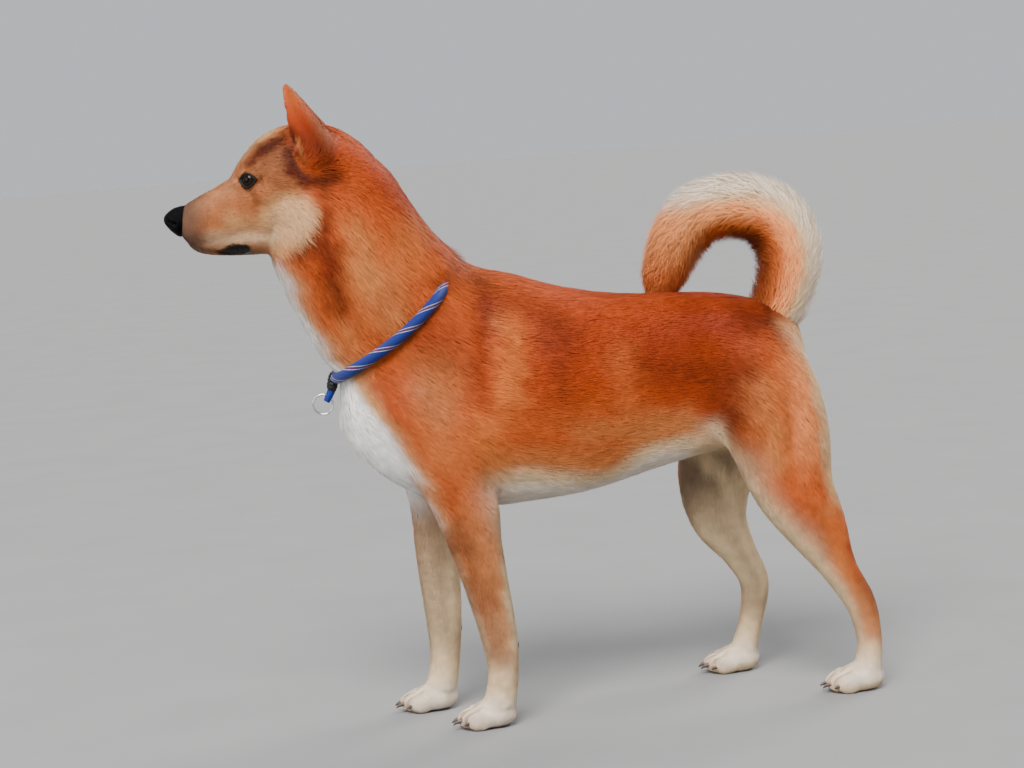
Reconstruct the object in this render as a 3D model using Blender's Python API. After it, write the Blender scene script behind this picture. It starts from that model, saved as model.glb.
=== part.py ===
"""A medium-sized, prick-eared, curl-tailed dog standing four-square, with a narrow collar.

The dog faces -X with its left side towards -Y and its feet on the plane z = 0. The flesh is one
modelled whole, parted into body regions by thin flat cuts. Sizes run out to the tips of the coat.
"""

import math

import bmesh
import bpy
import numpy as np
from mathutils import Vector
from mathutils.bvhtree import BVHTree

# Driving dimensions, in metres.
CENTRE = (-0.0083, -0.0011)    # middle of the standing dog's box, moved to the origin
HEAD_TURN = math.radians(8)    # the head looks a little to the dog's right
HEAD_PIVOT = (-0.160, 0.0)     # point in the neck that the head turns about
VOXEL = 0.0055                 # cell that the flesh shapes are merged at
FLESH_FACES = 2020             # triangles left in the flesh before it is parted
CUT = 0.0005                   # width of the cuts between regions
GAP = 0.0004                   # clearance round pieces set into the flesh
EYE_RADIUS = 0.0108
EYE_PLACE = (0.1425, 0.0335, 0.6690)   # ahead of the head pivot, sideways, height
CLAW_LENGTH = 0.012
CLAW_RADIUS = 0.0030
COLLAR_HALF_WIDTH = 0.0062
COLLAR_HALF_THICK = 0.0045
COLLAR_TOP = (-0.064, 0.0, 0.556)      # where the collar crosses the withers
COLLAR_FRONT = (-0.234, 0.0, 0.424)    # where it meets at the front of the neck
COLLAR_SAG = 0.008                     # how far the collar hangs below that line at the sides
STOP_PATH = [(-0.2305, 0, 0.4310), (-0.2330, 0, 0.4220), (-0.2345, 0, 0.4130)]
STOP_GIRTH = [
    (0, 0.0058, 0.0058, 0.0082, 2.4), (1, 0.0064, 0.0064, 0.0090, 2.4),
    (2, 0.0054, 0.0054, 0.0076, 2.4),
]
TAB_PATH = [(-0.2349, 0, 0.4123), (-0.2384, 0, 0.4062), (-0.2420, 0, 0.4000)]
TAB_GIRTH = [
    (0, 0.0042, 0.0042, 0.0060, 2.4), (1, 0.0046, 0.0046, 0.0062, 2.4),
    (2, 0.0036, 0.0036, 0.0056, 2.2),
]
RING_CENTRE = (-0.2465, 0.0, 0.3965)
RING_RADIUS = 0.0118
RING_WIRE = 0.0013
SIDES = {"left": -1, "right": 1}

# Girth rows hold: knot on the path, reach up (or forward), reach down (or back), reach sideways,
# and squareness, where 2 is an ellipse and more is boxier.
TRUNK_PATH = [
    (0.337, 0, 0.382), (0.300, 0, 0.402), (0.245, 0, 0.408), (0.190, 0, 0.408), (0.130, 0, 0.403),
    (0.060, 0, 0.396), (0.000, 0, 0.390), (-0.060, 0, 0.385), (-0.120, 0, 0.385),
    (-0.175, 0, 0.386), (-0.226, 0, 0.394),
]
TRUNK_GIRTH = [
    (0, 0.020, 0.033, 0.034, 2.0), (1, 0.064, 0.078, 0.070, 2.0), (2, 0.080, 0.108, 0.082, 2.1),
    (3, 0.086, 0.117, 0.080, 2.2), (4, 0.096, 0.124, 0.081, 2.2), (5, 0.118, 0.133, 0.091, 2.2),
    (6, 0.146, 0.133, 0.096, 2.1), (7, 0.164, 0.130, 0.092, 2.0), (8, 0.160, 0.122, 0.082, 2.0),
    (9, 0.112, 0.084, 0.067, 2.0), (10, 0.046, 0.033, 0.036, 2.0),
]
NECK_PATH = [
    (-0.080, 0, 0.400), (-0.122, 0, 0.452), (-0.160, 0, 0.507), (-0.187, 0.001, 0.553),
    (-0.210, 0.003, 0.600), (-0.228, 0.007, 0.642), (-0.240, 0.010, 0.678),
]
NECK_GIRTH = [
    (0, 0.116, 0.112, 0.078, 2.0), (1, 0.114, 0.108, 0.079, 2.0), (2, 0.103, 0.101, 0.074, 2.0),
    (3, 0.096, 0.096, 0.070, 2.0), (4, 0.093, 0.090, 0.067, 2.0), (5, 0.087, 0.072, 0.061, 2.0),
    (6, 0.070, 0.045, 0.048, 2.0),
]
# The head's own frame: forward from the pivot, sideways, height.
SKULL_PATH = [(ahead, 0, 0.655) for ahead in (0.008, 0.040, 0.072, 0.104, 0.134, 0.156, 0.172)]
SKULL_GIRTH = [
    (0, 0.044, 0.045, 0.038, 2.0), (1, 0.067, 0.062, 0.055, 2.1), (2, 0.076, 0.070, 0.059, 2.2),
    (3, 0.075, 0.074, 0.056, 2.2), (4, 0.0635, 0.071, 0.047, 2.2), (5, 0.043, 0.062, 0.037, 2.2),
    (6, 0.020, 0.045, 0.026, 2.2),
]
MUZZLE_PATH = [
    (0.130, 0, 0.634), (0.160, 0, 0.632), (0.185, 0, 0.628), (0.208, 0, 0.6245), (0.228, 0, 0.6220),
    (0.243, 0, 0.6220),
]
MUZZLE_GIRTH = [
    (0, 0.044, 0.040, 0.036, 2.4), (1, 0.043, 0.036, 0.034, 2.5), (2, 0.036, 0.034, 0.030, 2.6),
    (3, 0.030, 0.032, 0.0265, 2.6), (4, 0.0255, 0.024, 0.0225, 2.5), (5, 0.020, 0.015, 0.017, 2.2),
]
JAW_PATH = [
    (0.060, 0, 0.618), (0.100, 0, 0.610), (0.145, 0, 0.606), (0.185, 0, 0.604), (0.212, 0, 0.604),
    (0.227, 0, 0.607),
]
JAW_GIRTH = [
    (0, 0.030, 0.030, 0.040, 2.0), (1, 0.030, 0.032, 0.044, 2.1), (2, 0.025, 0.0270, 0.031, 2.2),
    (3, 0.020, 0.0230, 0.0235, 2.2), (4, 0.016, 0.0185, 0.019, 2.2), (5, 0.009, 0.011, 0.011, 2.0),
]
# Cheek, cheekbone and brow pads on each side: centre and half-lengths in the head's frame.
HEAD_PADS = [
    ((0.084, 0.034, 0.626), (0.040, 0.028, 0.044)),
    ((0.112, 0.036, 0.650), (0.034, 0.017, 0.020)),
    ((0.142, 0.024, 0.686), (0.016, 0.013, 0.012)),
]
NOSE_PATH = [
    (0.222, 0, 0.6275), (0.230, 0, 0.6275), (0.240, 0, 0.6275), (0.249, 0, 0.6275),
    (0.2535, 0, 0.6300),
]
NOSE_GIRTH = [
    (0, 0.0150, 0.0120, 0.0120, 2.2), (1, 0.0175, 0.0165, 0.0160, 2.2), (2, 0.0165, 0.0180, 0.0170, 2.3),
    (3, 0.0125, 0.0100, 0.0138, 2.4), (4, 0.0060, 0.0055, 0.0070, 2.2),
]
NOSTRIL = ((0.2520, 0.0072, 0.6285), (0.0060, 0.0032, 0.0038))
# Joints from the shoulder or hip down to the foot.
FORE_JOINTS = {
    "left": [
        (-0.128, -0.052, 0.430), (-0.112, -0.062, 0.350), (-0.093, -0.066, 0.268),
        (-0.078, -0.066, 0.185), (-0.066, -0.064, 0.108), (-0.064, -0.063, 0.062),
        (-0.070, -0.062, 0.026),
    ],
    "right": [
        (-0.132, 0.052, 0.430), (-0.120, 0.060, 0.350), (-0.111, 0.062, 0.268),
        (-0.117, 0.059, 0.185), (-0.118, 0.055, 0.108), (-0.120, 0.052, 0.062),
        (-0.127, 0.051, 0.026),
    ],
}
FORE_GIRTH = [
    (0, 0.062, 0.062, 0.030, 2.0), (1, 0.056, 0.058, 0.035, 2.0), (2, 0.040, 0.038, 0.030, 2.1),
    (3, 0.0285, 0.0275, 0.0235, 2.1), (4, 0.0215, 0.0225, 0.0205, 2.2),
    (5, 0.0185, 0.0185, 0.0185, 2.1), (6, 0.0200, 0.0190, 0.0220, 2.0),
]
HIND_JOINTS = {
    "left": [
        (0.262, -0.046, 0.430), (0.282, -0.056, 0.370), (0.294, -0.064, 0.310),
        (0.302, -0.070, 0.255), (0.327, -0.076, 0.200), (0.351, -0.080, 0.150),
        (0.374, -0.082, 0.105), (0.382, -0.083, 0.060), (0.378, -0.083, 0.026),
    ],
    "right": [
        (0.258, 0.046, 0.430), (0.270, 0.056, 0.370), (0.262, 0.064, 0.310),
        (0.240, 0.069, 0.255), (0.241, 0.073, 0.200), (0.267, 0.075, 0.150),
        (0.283, 0.076, 0.110), (0.275, 0.077, 0.062), (0.264, 0.077, 0.026),
    ],
}
HIND_GIRTH = [
    (0, 0.058, 0.052, 0.040, 2.0), (1, 0.070, 0.063, 0.042, 2.0), (2, 0.066, 0.061, 0.042, 2.0),
    (3, 0.050, 0.051, 0.036, 2.0), (4, 0.036, 0.038, 0.0275, 2.1), (5, 0.0225, 0.0215, 0.0205, 2.1),
    (6, 0.0185, 0.0185, 0.0175, 2.1), (7, 0.0150, 0.0150, 0.0160, 2.1), (8, 0.0165, 0.0165, 0.0190, 2.0),
]
TAIL_PATH = [
    (0.292, 0.000, 0.432), (0.316, 0.000, 0.468), (0.330, 0.002, 0.502), (0.333, 0.004, 0.532),
    (0.326, 0.008, 0.558), (0.307, 0.014, 0.577), (0.279, 0.021, 0.586), (0.246, 0.029, 0.584),
    (0.223, 0.037, 0.572), (0.207, 0.044, 0.551), (0.197, 0.050, 0.528), (0.189, 0.055, 0.506),
    (0.183, 0.059, 0.486),
]
TAIL_GIRTH = [
    (0, 0.030, 0.030, 0.030, 2.0), (1, 0.037, 0.037, 0.034, 2.0), (2, 0.040, 0.039, 0.037, 2.0),
    (4, 0.047, 0.045, 0.041, 2.0), (6, 0.046, 0.040, 0.041, 2.0), (8, 0.043, 0.040, 0.039, 2.0),
    (9, 0.039, 0.039, 0.036, 2.0), (10, 0.035, 0.034, 0.032, 2.0), (11, 0.030, 0.027, 0.027, 2.0),
    (12, 0.018, 0.016, 0.016, 2.0),
]
# Where each length of the tail starts, in knots of its path.
TAIL_STARTS = {"tail_root": 0.0, "tail_rise": 2.6, "tail_crown": 5.3, "tail_fall": 8.2}
TAIL_GAP = 0.01      # left free on each side of a parting of the tail, in knots
# Ear rows: knot from base to tip, half-width of the cup, its depth, and how far round it closes.
EAR_BASE = (0.066, 0.036, 0.686)
EAR_TIP = (0.097, 0.045, 0.777)
EAR_FACING = math.radians(38)
EAR_ROWS = [
    (0.00, 0.0270, 0.0230, 118), (0.22, 0.0260, 0.0200, 106), (0.45, 0.0225, 0.0150, 92),
    (0.68, 0.0165, 0.0095, 82), (0.86, 0.0095, 0.0050, 76), (1.00, 0.0022, 0.0015, 70),
]
EAR_THICK = 0.0026
# Toes of one foot, from the pad centre: forward, sideways, length, half-width.
TOES = [(0.017, -0.0165, 0.016, 0.0088), (0.027, -0.0062, 0.0175, 0.0092),
        (0.027, 0.0062, 0.0175, 0.0092), (0.017, 0.0165, 0.016, 0.0088)]

# Where the flesh is parted: heights across the legs, places along the body, widths off its middle.
NECK_CUT = ((-0.300, 0.530), (-0.133, 0.728))
RIB_CUT, LOIN_CUT, SHOULDER_REAR = 0.055, 0.190, -0.010
SHOULDER_CUT, THIGH_CUT = 0.056, 0.050
ELBOW_CUT, WRIST_CUT = 0.243, 0.112
STIFLE_CUT, HOCK_CUT = 0.276, 0.118
# A point well inside each region of flesh, by which it is named after the cuts.
REGIONS = {
    "head": (-0.300, 0.020, 0.640), "neck": (-0.190, 0, 0.570), "chest": (-0.040, 0, 0.400),
    "abdomen": (0.120, 0, 0.400), "pelvis": (0.260, 0, 0.400),
}
SIDE_REGIONS = {
    "shoulder": (-0.120, 0.074, 0.370), "thigh": (0.280, 0.075, 0.370),
}
COLOURS = {
    "coat_red": (0.42, 0.115, 0.028, 1), "coat_tan": (0.50, 0.215, 0.085, 1),
    "coat_cream": (0.70, 0.52, 0.34, 1),
    "nose_leather": (0.012, 0.012, 0.015, 1), "eye_brown": (0.030, 0.012, 0.006, 1),
    "claw_horn": (0.23, 0.17, 0.12, 1), "collar_blue": (0.010, 0.025, 0.20, 1),
    "collar_black": (0.012, 0.012, 0.014, 1), "ring_steel": (0.62, 0.61, 0.58, 1),
}


def clear_scene():
    """Remove every object that the new file came with."""
    for item in list(bpy.data.objects):
        bpy.data.objects.remove(item, do_unlink=True)


def principled(name, roughness, metallic=0.0):
    """One opaque material with its colour from the table."""
    made = bpy.data.materials.new(name)
    made.use_nodes = True
    shader = made.node_tree.nodes["Principled BSDF"]
    shader.inputs["Base Color"].default_value = COLOURS[name]
    shader.inputs["Roughness"].default_value = roughness
    shader.inputs["Metallic"].default_value = metallic
    return made


def new_object(name, points, faces, material):
    """A mesh object from points and faces, smooth shaded."""
    mesh = bpy.data.meshes.new(name)
    mesh.from_pydata([tuple(p) for p in points], [], [tuple(int(i) for i in f) for f in faces])
    mesh.materials.append(material)
    mesh.shade_smooth()
    made = bpy.data.objects.new(name, mesh)
    bpy.context.scene.collection.objects.link(made)
    return made


def spline(knots, rows, at):
    """Rows read at the given knots through a Catmull-Rom curve, ends held straight."""
    knots = np.asarray(knots, float)
    rows = np.asarray(rows, float)
    slope = np.gradient(rows, knots, axis=0)
    at = np.atleast_1d(at)
    low = np.clip(np.searchsorted(knots, at, side="right") - 1, 0, len(knots) - 2)
    span = (knots[low + 1] - knots[low])[:, None]
    s = (at - knots[low])[:, None] / span
    return (
        (2 * s**3 - 3 * s**2 + 1) * rows[low]
        + (s**3 - 2 * s**2 + s) * span * slope[low]
        + (3 * s**2 - 2 * s**3) * rows[low + 1]
        + (s**3 - s**2) * span * slope[low + 1]
    )


def unit(rows):
    """Rows scaled to length one."""
    return rows / np.linalg.norm(rows, axis=-1, keepdims=True)


def path_frames(path, at, side_axis=(0, 1, 0)):
    """Centre, forward, sideways and upward axes of a path at the given knots."""
    knots = np.arange(len(path))
    centre = spline(knots, path, at)
    ahead = unit(spline(knots, path, np.clip(at + 0.02, 0, len(path) - 1))
                 - spline(knots, path, np.clip(at - 0.02, 0, len(path) - 1)))
    side = np.asarray(side_axis, float)
    side = unit(side - (ahead @ side)[:, None] * ahead)
    return centre, ahead, side, np.cross(side, ahead)


def power(value, exponent):
    """Signed power, which turns a circle into a superellipse."""
    return np.sign(value) * np.abs(value) ** exponent


def tube(path, girth, ring=24, per_knot=3, first=0.0, last=None):
    """Points and faces of a closed tube: superellipse sections square to a smooth path."""
    last = len(path) - 1 if last is None else last
    at = np.linspace(first, last, max(2, int(round((last - first) * per_knot)) + 1))
    centre, _, side, up = path_frames(path, at)
    girth = np.asarray(girth, float)
    reach = spline(girth[:, 0], girth[:, 1:], at)
    turn = np.linspace(0, 2 * np.pi, ring, endpoint=False)
    flat = 2 / reach[:, 3:4]
    rise = power(np.cos(turn)[None, :], flat)
    out = power(np.sin(turn)[None, :], flat)
    height = np.where(rise > 0, reach[:, 0:1], reach[:, 1:2]) * rise
    points = (centre[:, None] + height[..., None] * up[:, None]
              + (reach[:, 2:3] * out)[..., None] * side[:, None]).reshape(-1, 3)
    return points, tube_faces(len(at), ring)


def tube_faces(rows, ring):
    """Quads between the rings of a tube and one face over each end."""
    faces = [
        (i * ring + j, i * ring + (j + 1) % ring, (i + 1) * ring + (j + 1) % ring, (i + 1) * ring + j)
        for i in range(rows - 1) for j in range(ring)
    ]
    faces.append(tuple(range(ring - 1, -1, -1)))
    faces.append(tuple((rows - 1) * ring + j for j in range(ring)))
    return faces


def ellipsoid(centre, reach, segments=16, rings=10):
    """Points and faces of an ellipsoid with its axes along X, Y and Z."""
    shape = bmesh.new()
    bmesh.ops.create_uvsphere(shape, u_segments=segments, v_segments=rings, radius=1.0)
    points = np.array([v.co for v in shape.verts]) * np.asarray(reach) + np.asarray(centre)
    faces = [[v.index for v in f.verts] for f in shape.faces]
    shape.free()
    return points, faces


def head_to_body(points):
    """Points given ahead of the head pivot, sideways and up, placed on the dog."""
    points = np.asarray(points, float).reshape(-1, 3)
    ahead = np.array([-math.cos(HEAD_TURN), math.sin(HEAD_TURN), 0])
    right = np.array([math.sin(HEAD_TURN), math.cos(HEAD_TURN), 0])
    pivot = np.array([*HEAD_PIVOT, 0])
    return pivot + points[:, :1] * ahead + points[:, 1:2] * right + points[:, 2:] * [0, 0, 1]


def head_path(path):
    """A path in the head's frame, placed on the dog."""
    return [tuple(p) for p in head_to_body(path)]


def foot_centre(joints):
    """Middle of a foot's pad, a little ahead of the last joint."""
    return np.array(joints[-1]) + [-0.010, 0, -0.011]


def foot_shapes(joints):
    """Pad and toe ellipsoids of one foot, reaching below the floor so that the sole is cut flat."""
    centre = foot_centre(joints)
    yield ellipsoid(centre, (0.030, 0.0245, 0.0195))
    for ahead, across, length, half in TOES:
        yield ellipsoid(centre + [-ahead, across, -0.003], (length, half, 0.0145))


def claw_shape(joints, toe):
    """A small curved horn out of the front of one toe, its tip just above the floor."""
    ahead, across, length, _ = toe
    root = foot_centre(joints) + [-ahead - length + 0.006, across, -0.002]
    path = [root, root + [-CLAW_LENGTH * 0.5, 0, -0.001], root + [-CLAW_LENGTH * 0.9, 0, -0.0060]]
    girth = [(0, CLAW_RADIUS, CLAW_RADIUS, 0.8 * CLAW_RADIUS, 2.0),
             (1, 0.85 * CLAW_RADIUS, 0.85 * CLAW_RADIUS, 0.7 * CLAW_RADIUS, 2.0),
             (2, 0.2 * CLAW_RADIUS, 0.2 * CLAW_RADIUS, 0.2 * CLAW_RADIUS, 2.0)]
    return tube(path, girth, ring=6, per_knot=1)


def flesh_shapes():
    """Every overlapping closed shape that the body is merged from."""
    yield tube(TRUNK_PATH, TRUNK_GIRTH, ring=32)
    yield tube(NECK_PATH, NECK_GIRTH, ring=32)
    yield tube(head_path(SKULL_PATH), SKULL_GIRTH, ring=32)
    yield tube(head_path(MUZZLE_PATH), MUZZLE_GIRTH, ring=28)
    yield tube(head_path(JAW_PATH), JAW_GIRTH, ring=24)
    for sign in SIDES.values():
        for centre, reach in HEAD_PADS:
            place = head_to_body((centre[0], sign * centre[1], centre[2]))[0]
            yield ellipsoid(place, reach)
    for side in SIDES:
        yield tube(FORE_JOINTS[side], FORE_GIRTH, ring=24)
        yield tube(HIND_JOINTS[side], HIND_GIRTH, ring=24)
        yield from foot_shapes(FORE_JOINTS[side])
        yield from foot_shapes(HIND_JOINTS[side])


def joined(shapes):
    """Several point and face sets as one."""
    points, faces, start = [], [], 0
    for shape_points, shape_faces in shapes:
        points.append(shape_points)
        faces += [[i + start for i in face] for face in shape_faces]
        start += len(shape_points)
    return np.concatenate(points), faces


def outward(thing):
    """Turn the faces of an object's mesh outward."""
    shape = bmesh.new()
    shape.from_mesh(thing.data)
    bmesh.ops.recalc_face_normals(shape, faces=shape.faces)
    shape.to_mesh(thing.data)
    shape.free()
    return thing


def baked(thing):
    """The object with its modifiers turned into its mesh."""
    bpy.context.view_layer.update()
    seen = thing.evaluated_get(bpy.context.evaluated_depsgraph_get())
    mesh = bpy.data.meshes.new_from_object(seen)
    thing.modifiers.clear()
    thing.data = mesh
    return thing


def cut_by(thing, cutter):
    """Take the cutter's volume away from an object, and the cutter out of the file."""
    cut = thing.modifiers.new("cut", "BOOLEAN")
    cut.operation = "DIFFERENCE"
    cut.solver = "EXACT"
    cut.object = cutter
    baked(thing)
    bpy.data.objects.remove(cutter, do_unlink=True)
    shape = bmesh.new()
    shape.from_mesh(thing.data)
    bmesh.ops.remove_doubles(shape, verts=shape.verts, dist=2e-5)
    bmesh.ops.dissolve_degenerate(shape, edges=shape.edges, dist=1e-5)
    shape.to_mesh(thing.data)
    shape.free()
    return thing


def inflated(thing, by=GAP):
    """A copy of an object pushed outward along its normals."""
    copy = thing.copy()
    copy.data = thing.data.copy()
    bpy.context.scene.collection.objects.link(copy)
    places = np.array([v.co + v.normal * by for v in copy.data.vertices])
    copy.data.vertices.foreach_set("co", places.ravel())
    return copy


def box_mesh(centre, axes):
    """Points and faces of a box from its centre and three half-axes."""
    signs = [(x, y, z) for x in (-1, 1) for y in (-1, 1) for z in (-1, 1)]
    points = [np.asarray(centre) + np.asarray(s) @ np.asarray(axes) for s in signs]
    faces = [(0, 1, 3, 2), (4, 6, 7, 5), (0, 4, 5, 1), (2, 3, 7, 6), (0, 2, 6, 4), (1, 5, 7, 3)]
    return points, faces


def sheet(corners):
    """A thin flat cutter: a polygon of corners given a thickness square to it."""
    corners = np.asarray(corners, float)
    half = unit(np.cross(corners[1] - corners[0], corners[2] - corners[1])) * CUT / 2
    count = len(corners)
    points = np.concatenate([corners - half, corners + half])
    faces = [tuple(range(count)), tuple(range(2 * count - 1, count - 1, -1))]
    faces += [(i, (i + 1) % count, (i + 1) % count + count, i + count) for i in range(count)]
    return outward(new_object("sheet", points, faces, paint["coat_red"]))


def collar_height(x):
    """Height of the collar's slanting plane at a distance along the dog."""
    slope = (COLLAR_TOP[2] - COLLAR_FRONT[2]) / (COLLAR_TOP[0] - COLLAR_FRONT[0])
    return COLLAR_TOP[2] + slope * (x - COLLAR_TOP[0])


def softness(points):
    """How much each point is smoothed: fully on the body, little on the face and lower legs."""
    legs = np.clip((points[:, 2] - 0.20) / 0.12, 0, 1)
    face = np.clip((points[:, 0] + 0.235) / 0.05, 0, 1)
    face = np.where(points[:, 2] > 0.56, face, 1)
    return np.minimum(legs, face)


def whole_flesh():
    """The merged, smoothed body with flat soles on the floor."""
    points, faces = joined(flesh_shapes())
    flesh = outward(new_object("flesh", points, faces, paint["coat_red"]))
    merge = flesh.modifiers.new("merge", "REMESH")
    merge.mode = "VOXEL"
    merge.voxel_size = VOXEL
    baked(flesh)
    points = np.array([v.co for v in flesh.data.vertices])
    group = flesh.vertex_groups.new(name="soft")
    for index, weight in enumerate(softness(points)):
        group.add([index], float(weight), "REPLACE")
    for name, rounds, limit in (("even", 4, ""), ("blend", 22, "soft")):
        soften = flesh.modifiers.new(name, "SMOOTH")
        soften.factor = 0.5
        soften.iterations = rounds
        soften.vertex_group = limit
    baked(flesh)
    thin = flesh.modifiers.new("thin", "DECIMATE")
    thin.ratio = FLESH_FACES / (2 * len(flesh.data.polygons))
    baked(flesh)
    flesh.vertex_groups.clear()
    below = box_mesh((0, 0, -0.1), np.diag((0.7, 0.3, 0.1)))
    return cut_by(flesh, outward(new_object("below", *below, paint["coat_red"])))


def eye_places():
    """Name and centre of each eyeball."""
    for side, sign in SIDES.items():
        ahead, across, height = EYE_PLACE
        yield side, head_to_body((ahead, sign * across, height))[0]


def ear_shape(sign):
    """A cupped leaf: C-shaped sections, thick skinned, narrowing from the base to the tip."""
    base, tip = (head_to_body((p[0], sign * p[1], p[2]))[0] for p in (EAR_BASE, EAR_TIP))
    turn = HEAD_TURN - sign * EAR_FACING
    axis = unit(tip - base)
    facing = np.array([-math.cos(turn), math.sin(turn), 0])
    facing = unit(facing - (facing @ axis) * axis)
    across = np.cross(axis, facing)
    at = np.linspace(0, 1, 8)
    rows = spline([r[0] for r in EAR_ROWS], [r[1:] for r in EAR_ROWS], at)
    swing = np.linspace(-1, 1, 9)
    sections = []
    for t, (half, depth, closing) in zip(at, rows):
        angle = swing * math.radians(closing)
        wall = min(EAR_THICK, 0.7 * half)
        outer = [(half * math.sin(a), -depth * math.cos(a)) for a in angle]
        inner = [((half - wall) * math.sin(a), -(depth - wall) * math.cos(a)) for a in angle[::-1]]
        centre = base + (tip - base) * t
        sections.append([centre + x * across + y * facing for x, y in outer + inner])
    ring = len(sections[0])
    return np.array(sections).reshape(-1, 3), tube_faces(len(sections), ring)


def collar_loop(flesh, count=36):
    """The collar's centre line: where its slanting plane meets the coat, slightly sagging."""
    top, front = np.array(COLLAR_TOP), np.array(COLLAR_FRONT)
    middle = (top + front) / 2
    along = unit(front - top)
    normal = unit(np.cross(along, (0, 1, 0)))
    normal *= np.sign(normal[2])
    tree = BVHTree.FromPolygons([v.co for v in flesh.data.vertices],
                                [p.vertices for p in flesh.data.polygons])
    angle = np.linspace(0, 2 * np.pi, count, endpoint=False)
    rays = np.cos(angle)[:, None] * along + np.sin(angle)[:, None] * [0, 1, 0]
    reach = np.array([tree.ray_cast(Vector(middle - normal * COLLAR_SAG * math.sin(a) ** 2), Vector(r))[3]
                      for a, r in zip(angle, rays)])
    waves = np.fft.rfft(reach)
    waves[7:] = 0
    reach = np.fft.irfft(waves, count)
    return middle + rays * reach[:, None] - normal * (COLLAR_SAG * np.sin(angle) ** 2)[:, None]


def loop_tube(loop, normal, half_width, half_thick, ring):
    """A closed band of oval section around a loop of points."""
    loop = np.asarray(loop)
    ahead = unit(np.roll(loop, -1, axis=0) - np.roll(loop, 1, axis=0))
    out = unit(np.cross(ahead, normal))
    wide = np.cross(out, ahead)
    turn = np.linspace(0, 2 * np.pi, ring, endpoint=False)
    points = (loop[:, None] + half_thick * np.cos(turn)[None, :, None] * out[:, None]
              + half_width * np.sin(turn)[None, :, None] * wide[:, None]).reshape(-1, 3)
    count = len(loop)
    faces = [(i * ring + j, i * ring + (j + 1) % ring,
              (i + 1) % count * ring + (j + 1) % ring, (i + 1) % count * ring + j)
             for i in range(count) for j in range(ring)]
    return points, faces


def across_sheet(x_low, z_low, x_high, z_high, y_low=-0.14, y_high=0.14):
    """A cutter that holds the Y direction, between two points of the side view."""
    return sheet([(x_low, y_low, z_low), (x_low, y_high, z_low),
                  (x_high, y_high, z_high), (x_high, y_low, z_high)])


def lengthwise_sheet(y, outline):
    """A cutter in a plane of constant Y, with its outline in the side view."""
    return sheet([(x, y, z) for x, z in outline])


def parting_sheets():
    """The thin cutters between the regions of flesh."""
    yield across_sheet(-0.300, collar_height(-0.300), 0.000, collar_height(0.000))
    yield across_sheet(*NECK_CUT[0], *NECK_CUT[1])
    yield across_sheet(RIB_CUT, 0.20, RIB_CUT, 0.60)
    yield across_sheet(LOIN_CUT, 0.278, LOIN_CUT, 0.60)
    for side, sign in SIDES.items():
        rear = SHOULDER_REAR + CUT / 4
        yield lengthwise_sheet(sign * SHOULDER_CUT, [
            (rear, ELBOW_CUT - CUT / 4), (-0.270, ELBOW_CUT - CUT / 4),
            (-0.270, collar_height(-0.270)), (rear, collar_height(rear))])
        inner, outer = sorted((sign * (SHOULDER_CUT - CUT / 4), sign * 0.14))
        yield across_sheet(SHOULDER_REAR, 0.20, SHOULDER_REAR, 0.60, inner, outer)
        front = LOIN_CUT - CUT / 4
        yield lengthwise_sheet(sign * THIGH_CUT, [
            (front, STIFLE_CUT - CUT / 4), (0.42, STIFLE_CUT - CUT / 4), (0.42, 0.56), (front, 0.56)])
        inner, outer = sorted((sign * 0.005, sign * 0.14))
        yield across_sheet(-0.200, ELBOW_CUT, -0.020, ELBOW_CUT, inner, outer)
        yield across_sheet(0.165, STIFLE_CUT, 0.420, STIFLE_CUT, inner, outer)
        for joints, height in ((FORE_JOINTS, WRIST_CUT), (HIND_JOINTS, HOCK_CUT)):
            where = leg_at(joints[side], height)[0]
            yield across_sheet(where - 0.045, height, where + 0.045, height, inner, outer)


def leg_at(joints, height):
    """The point of a leg's path at a height."""
    at = np.linspace(0, len(joints) - 1, 200)
    path = spline(np.arange(len(joints)), joints, at)
    return path[np.argmin(np.abs(path[:, 2] - height))]


def seeds():
    """Name and inner point of every region of flesh."""
    yield from REGIONS.items()
    for side, sign in SIDES.items():
        for name, (x, y, z) in SIDE_REGIONS.items():
            yield f"{name}_{side}", (x, sign * y, z)
        for names, joints, heights in (
            (("forearm", "forefoot"), FORE_JOINTS, (0.18, 0.06)),
            (("lower_leg", "hindfoot"), HIND_JOINTS, (0.18, 0.06)),
        ):
            for name, height in zip(names, heights):
                yield f"{name}_{side}", leg_at(joints[side], height)


def islands(thing):
    """The separate closed bodies of an object's mesh, as bmeshes."""
    shape = bmesh.new()
    shape.from_mesh(thing.data)
    left = set(shape.verts)
    while left:
        body, edge = set(), [left.pop()]
        while edge:
            vertex = edge.pop()
            body.add(vertex)
            near = {e.other_vert(vertex) for e in vertex.link_edges} & left
            left -= near
            edge += near
        yield shape, body
    shape.free()


def inside(tree, point):
    """Whether a point is inside a closed body: a ray from it leaves through an odd number of faces."""
    ray = Vector((0.31, 0.17, 0.93)).normalized()
    place, crossed = Vector(point), 0
    while True:
        hit = tree.ray_cast(place, ray)[0]
        if hit is None:
            return crossed % 2 == 1
        crossed += 1
        place = hit + ray * 1e-6


def part_flesh(flesh):
    """Name every region that the cuts left, by the point that it holds."""
    named = dict(seeds())
    for shape, body in islands(flesh):
        faces = {f for v in body for f in v.link_faces}
        order = {v: i for i, v in enumerate(body)}
        points = [tuple(v.co) for v in body]
        polygons = [[order[v] for v in f.verts] for f in faces]
        tree = BVHTree.FromPolygons(points, polygons)
        held = [name for name, point in named.items() if inside(tree, point)]
        if len(held) != 1:
            raise ValueError(f"a cut left a body of {len(points)} points holding {held}")
        new_object(held[0], points, polygons, paint[coat_of(held[0])])
        del named[held[0]]
    bpy.data.objects.remove(flesh, do_unlink=True)
    if named:
        raise ValueError(f"the cuts left no {sorted(named)}")


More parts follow.
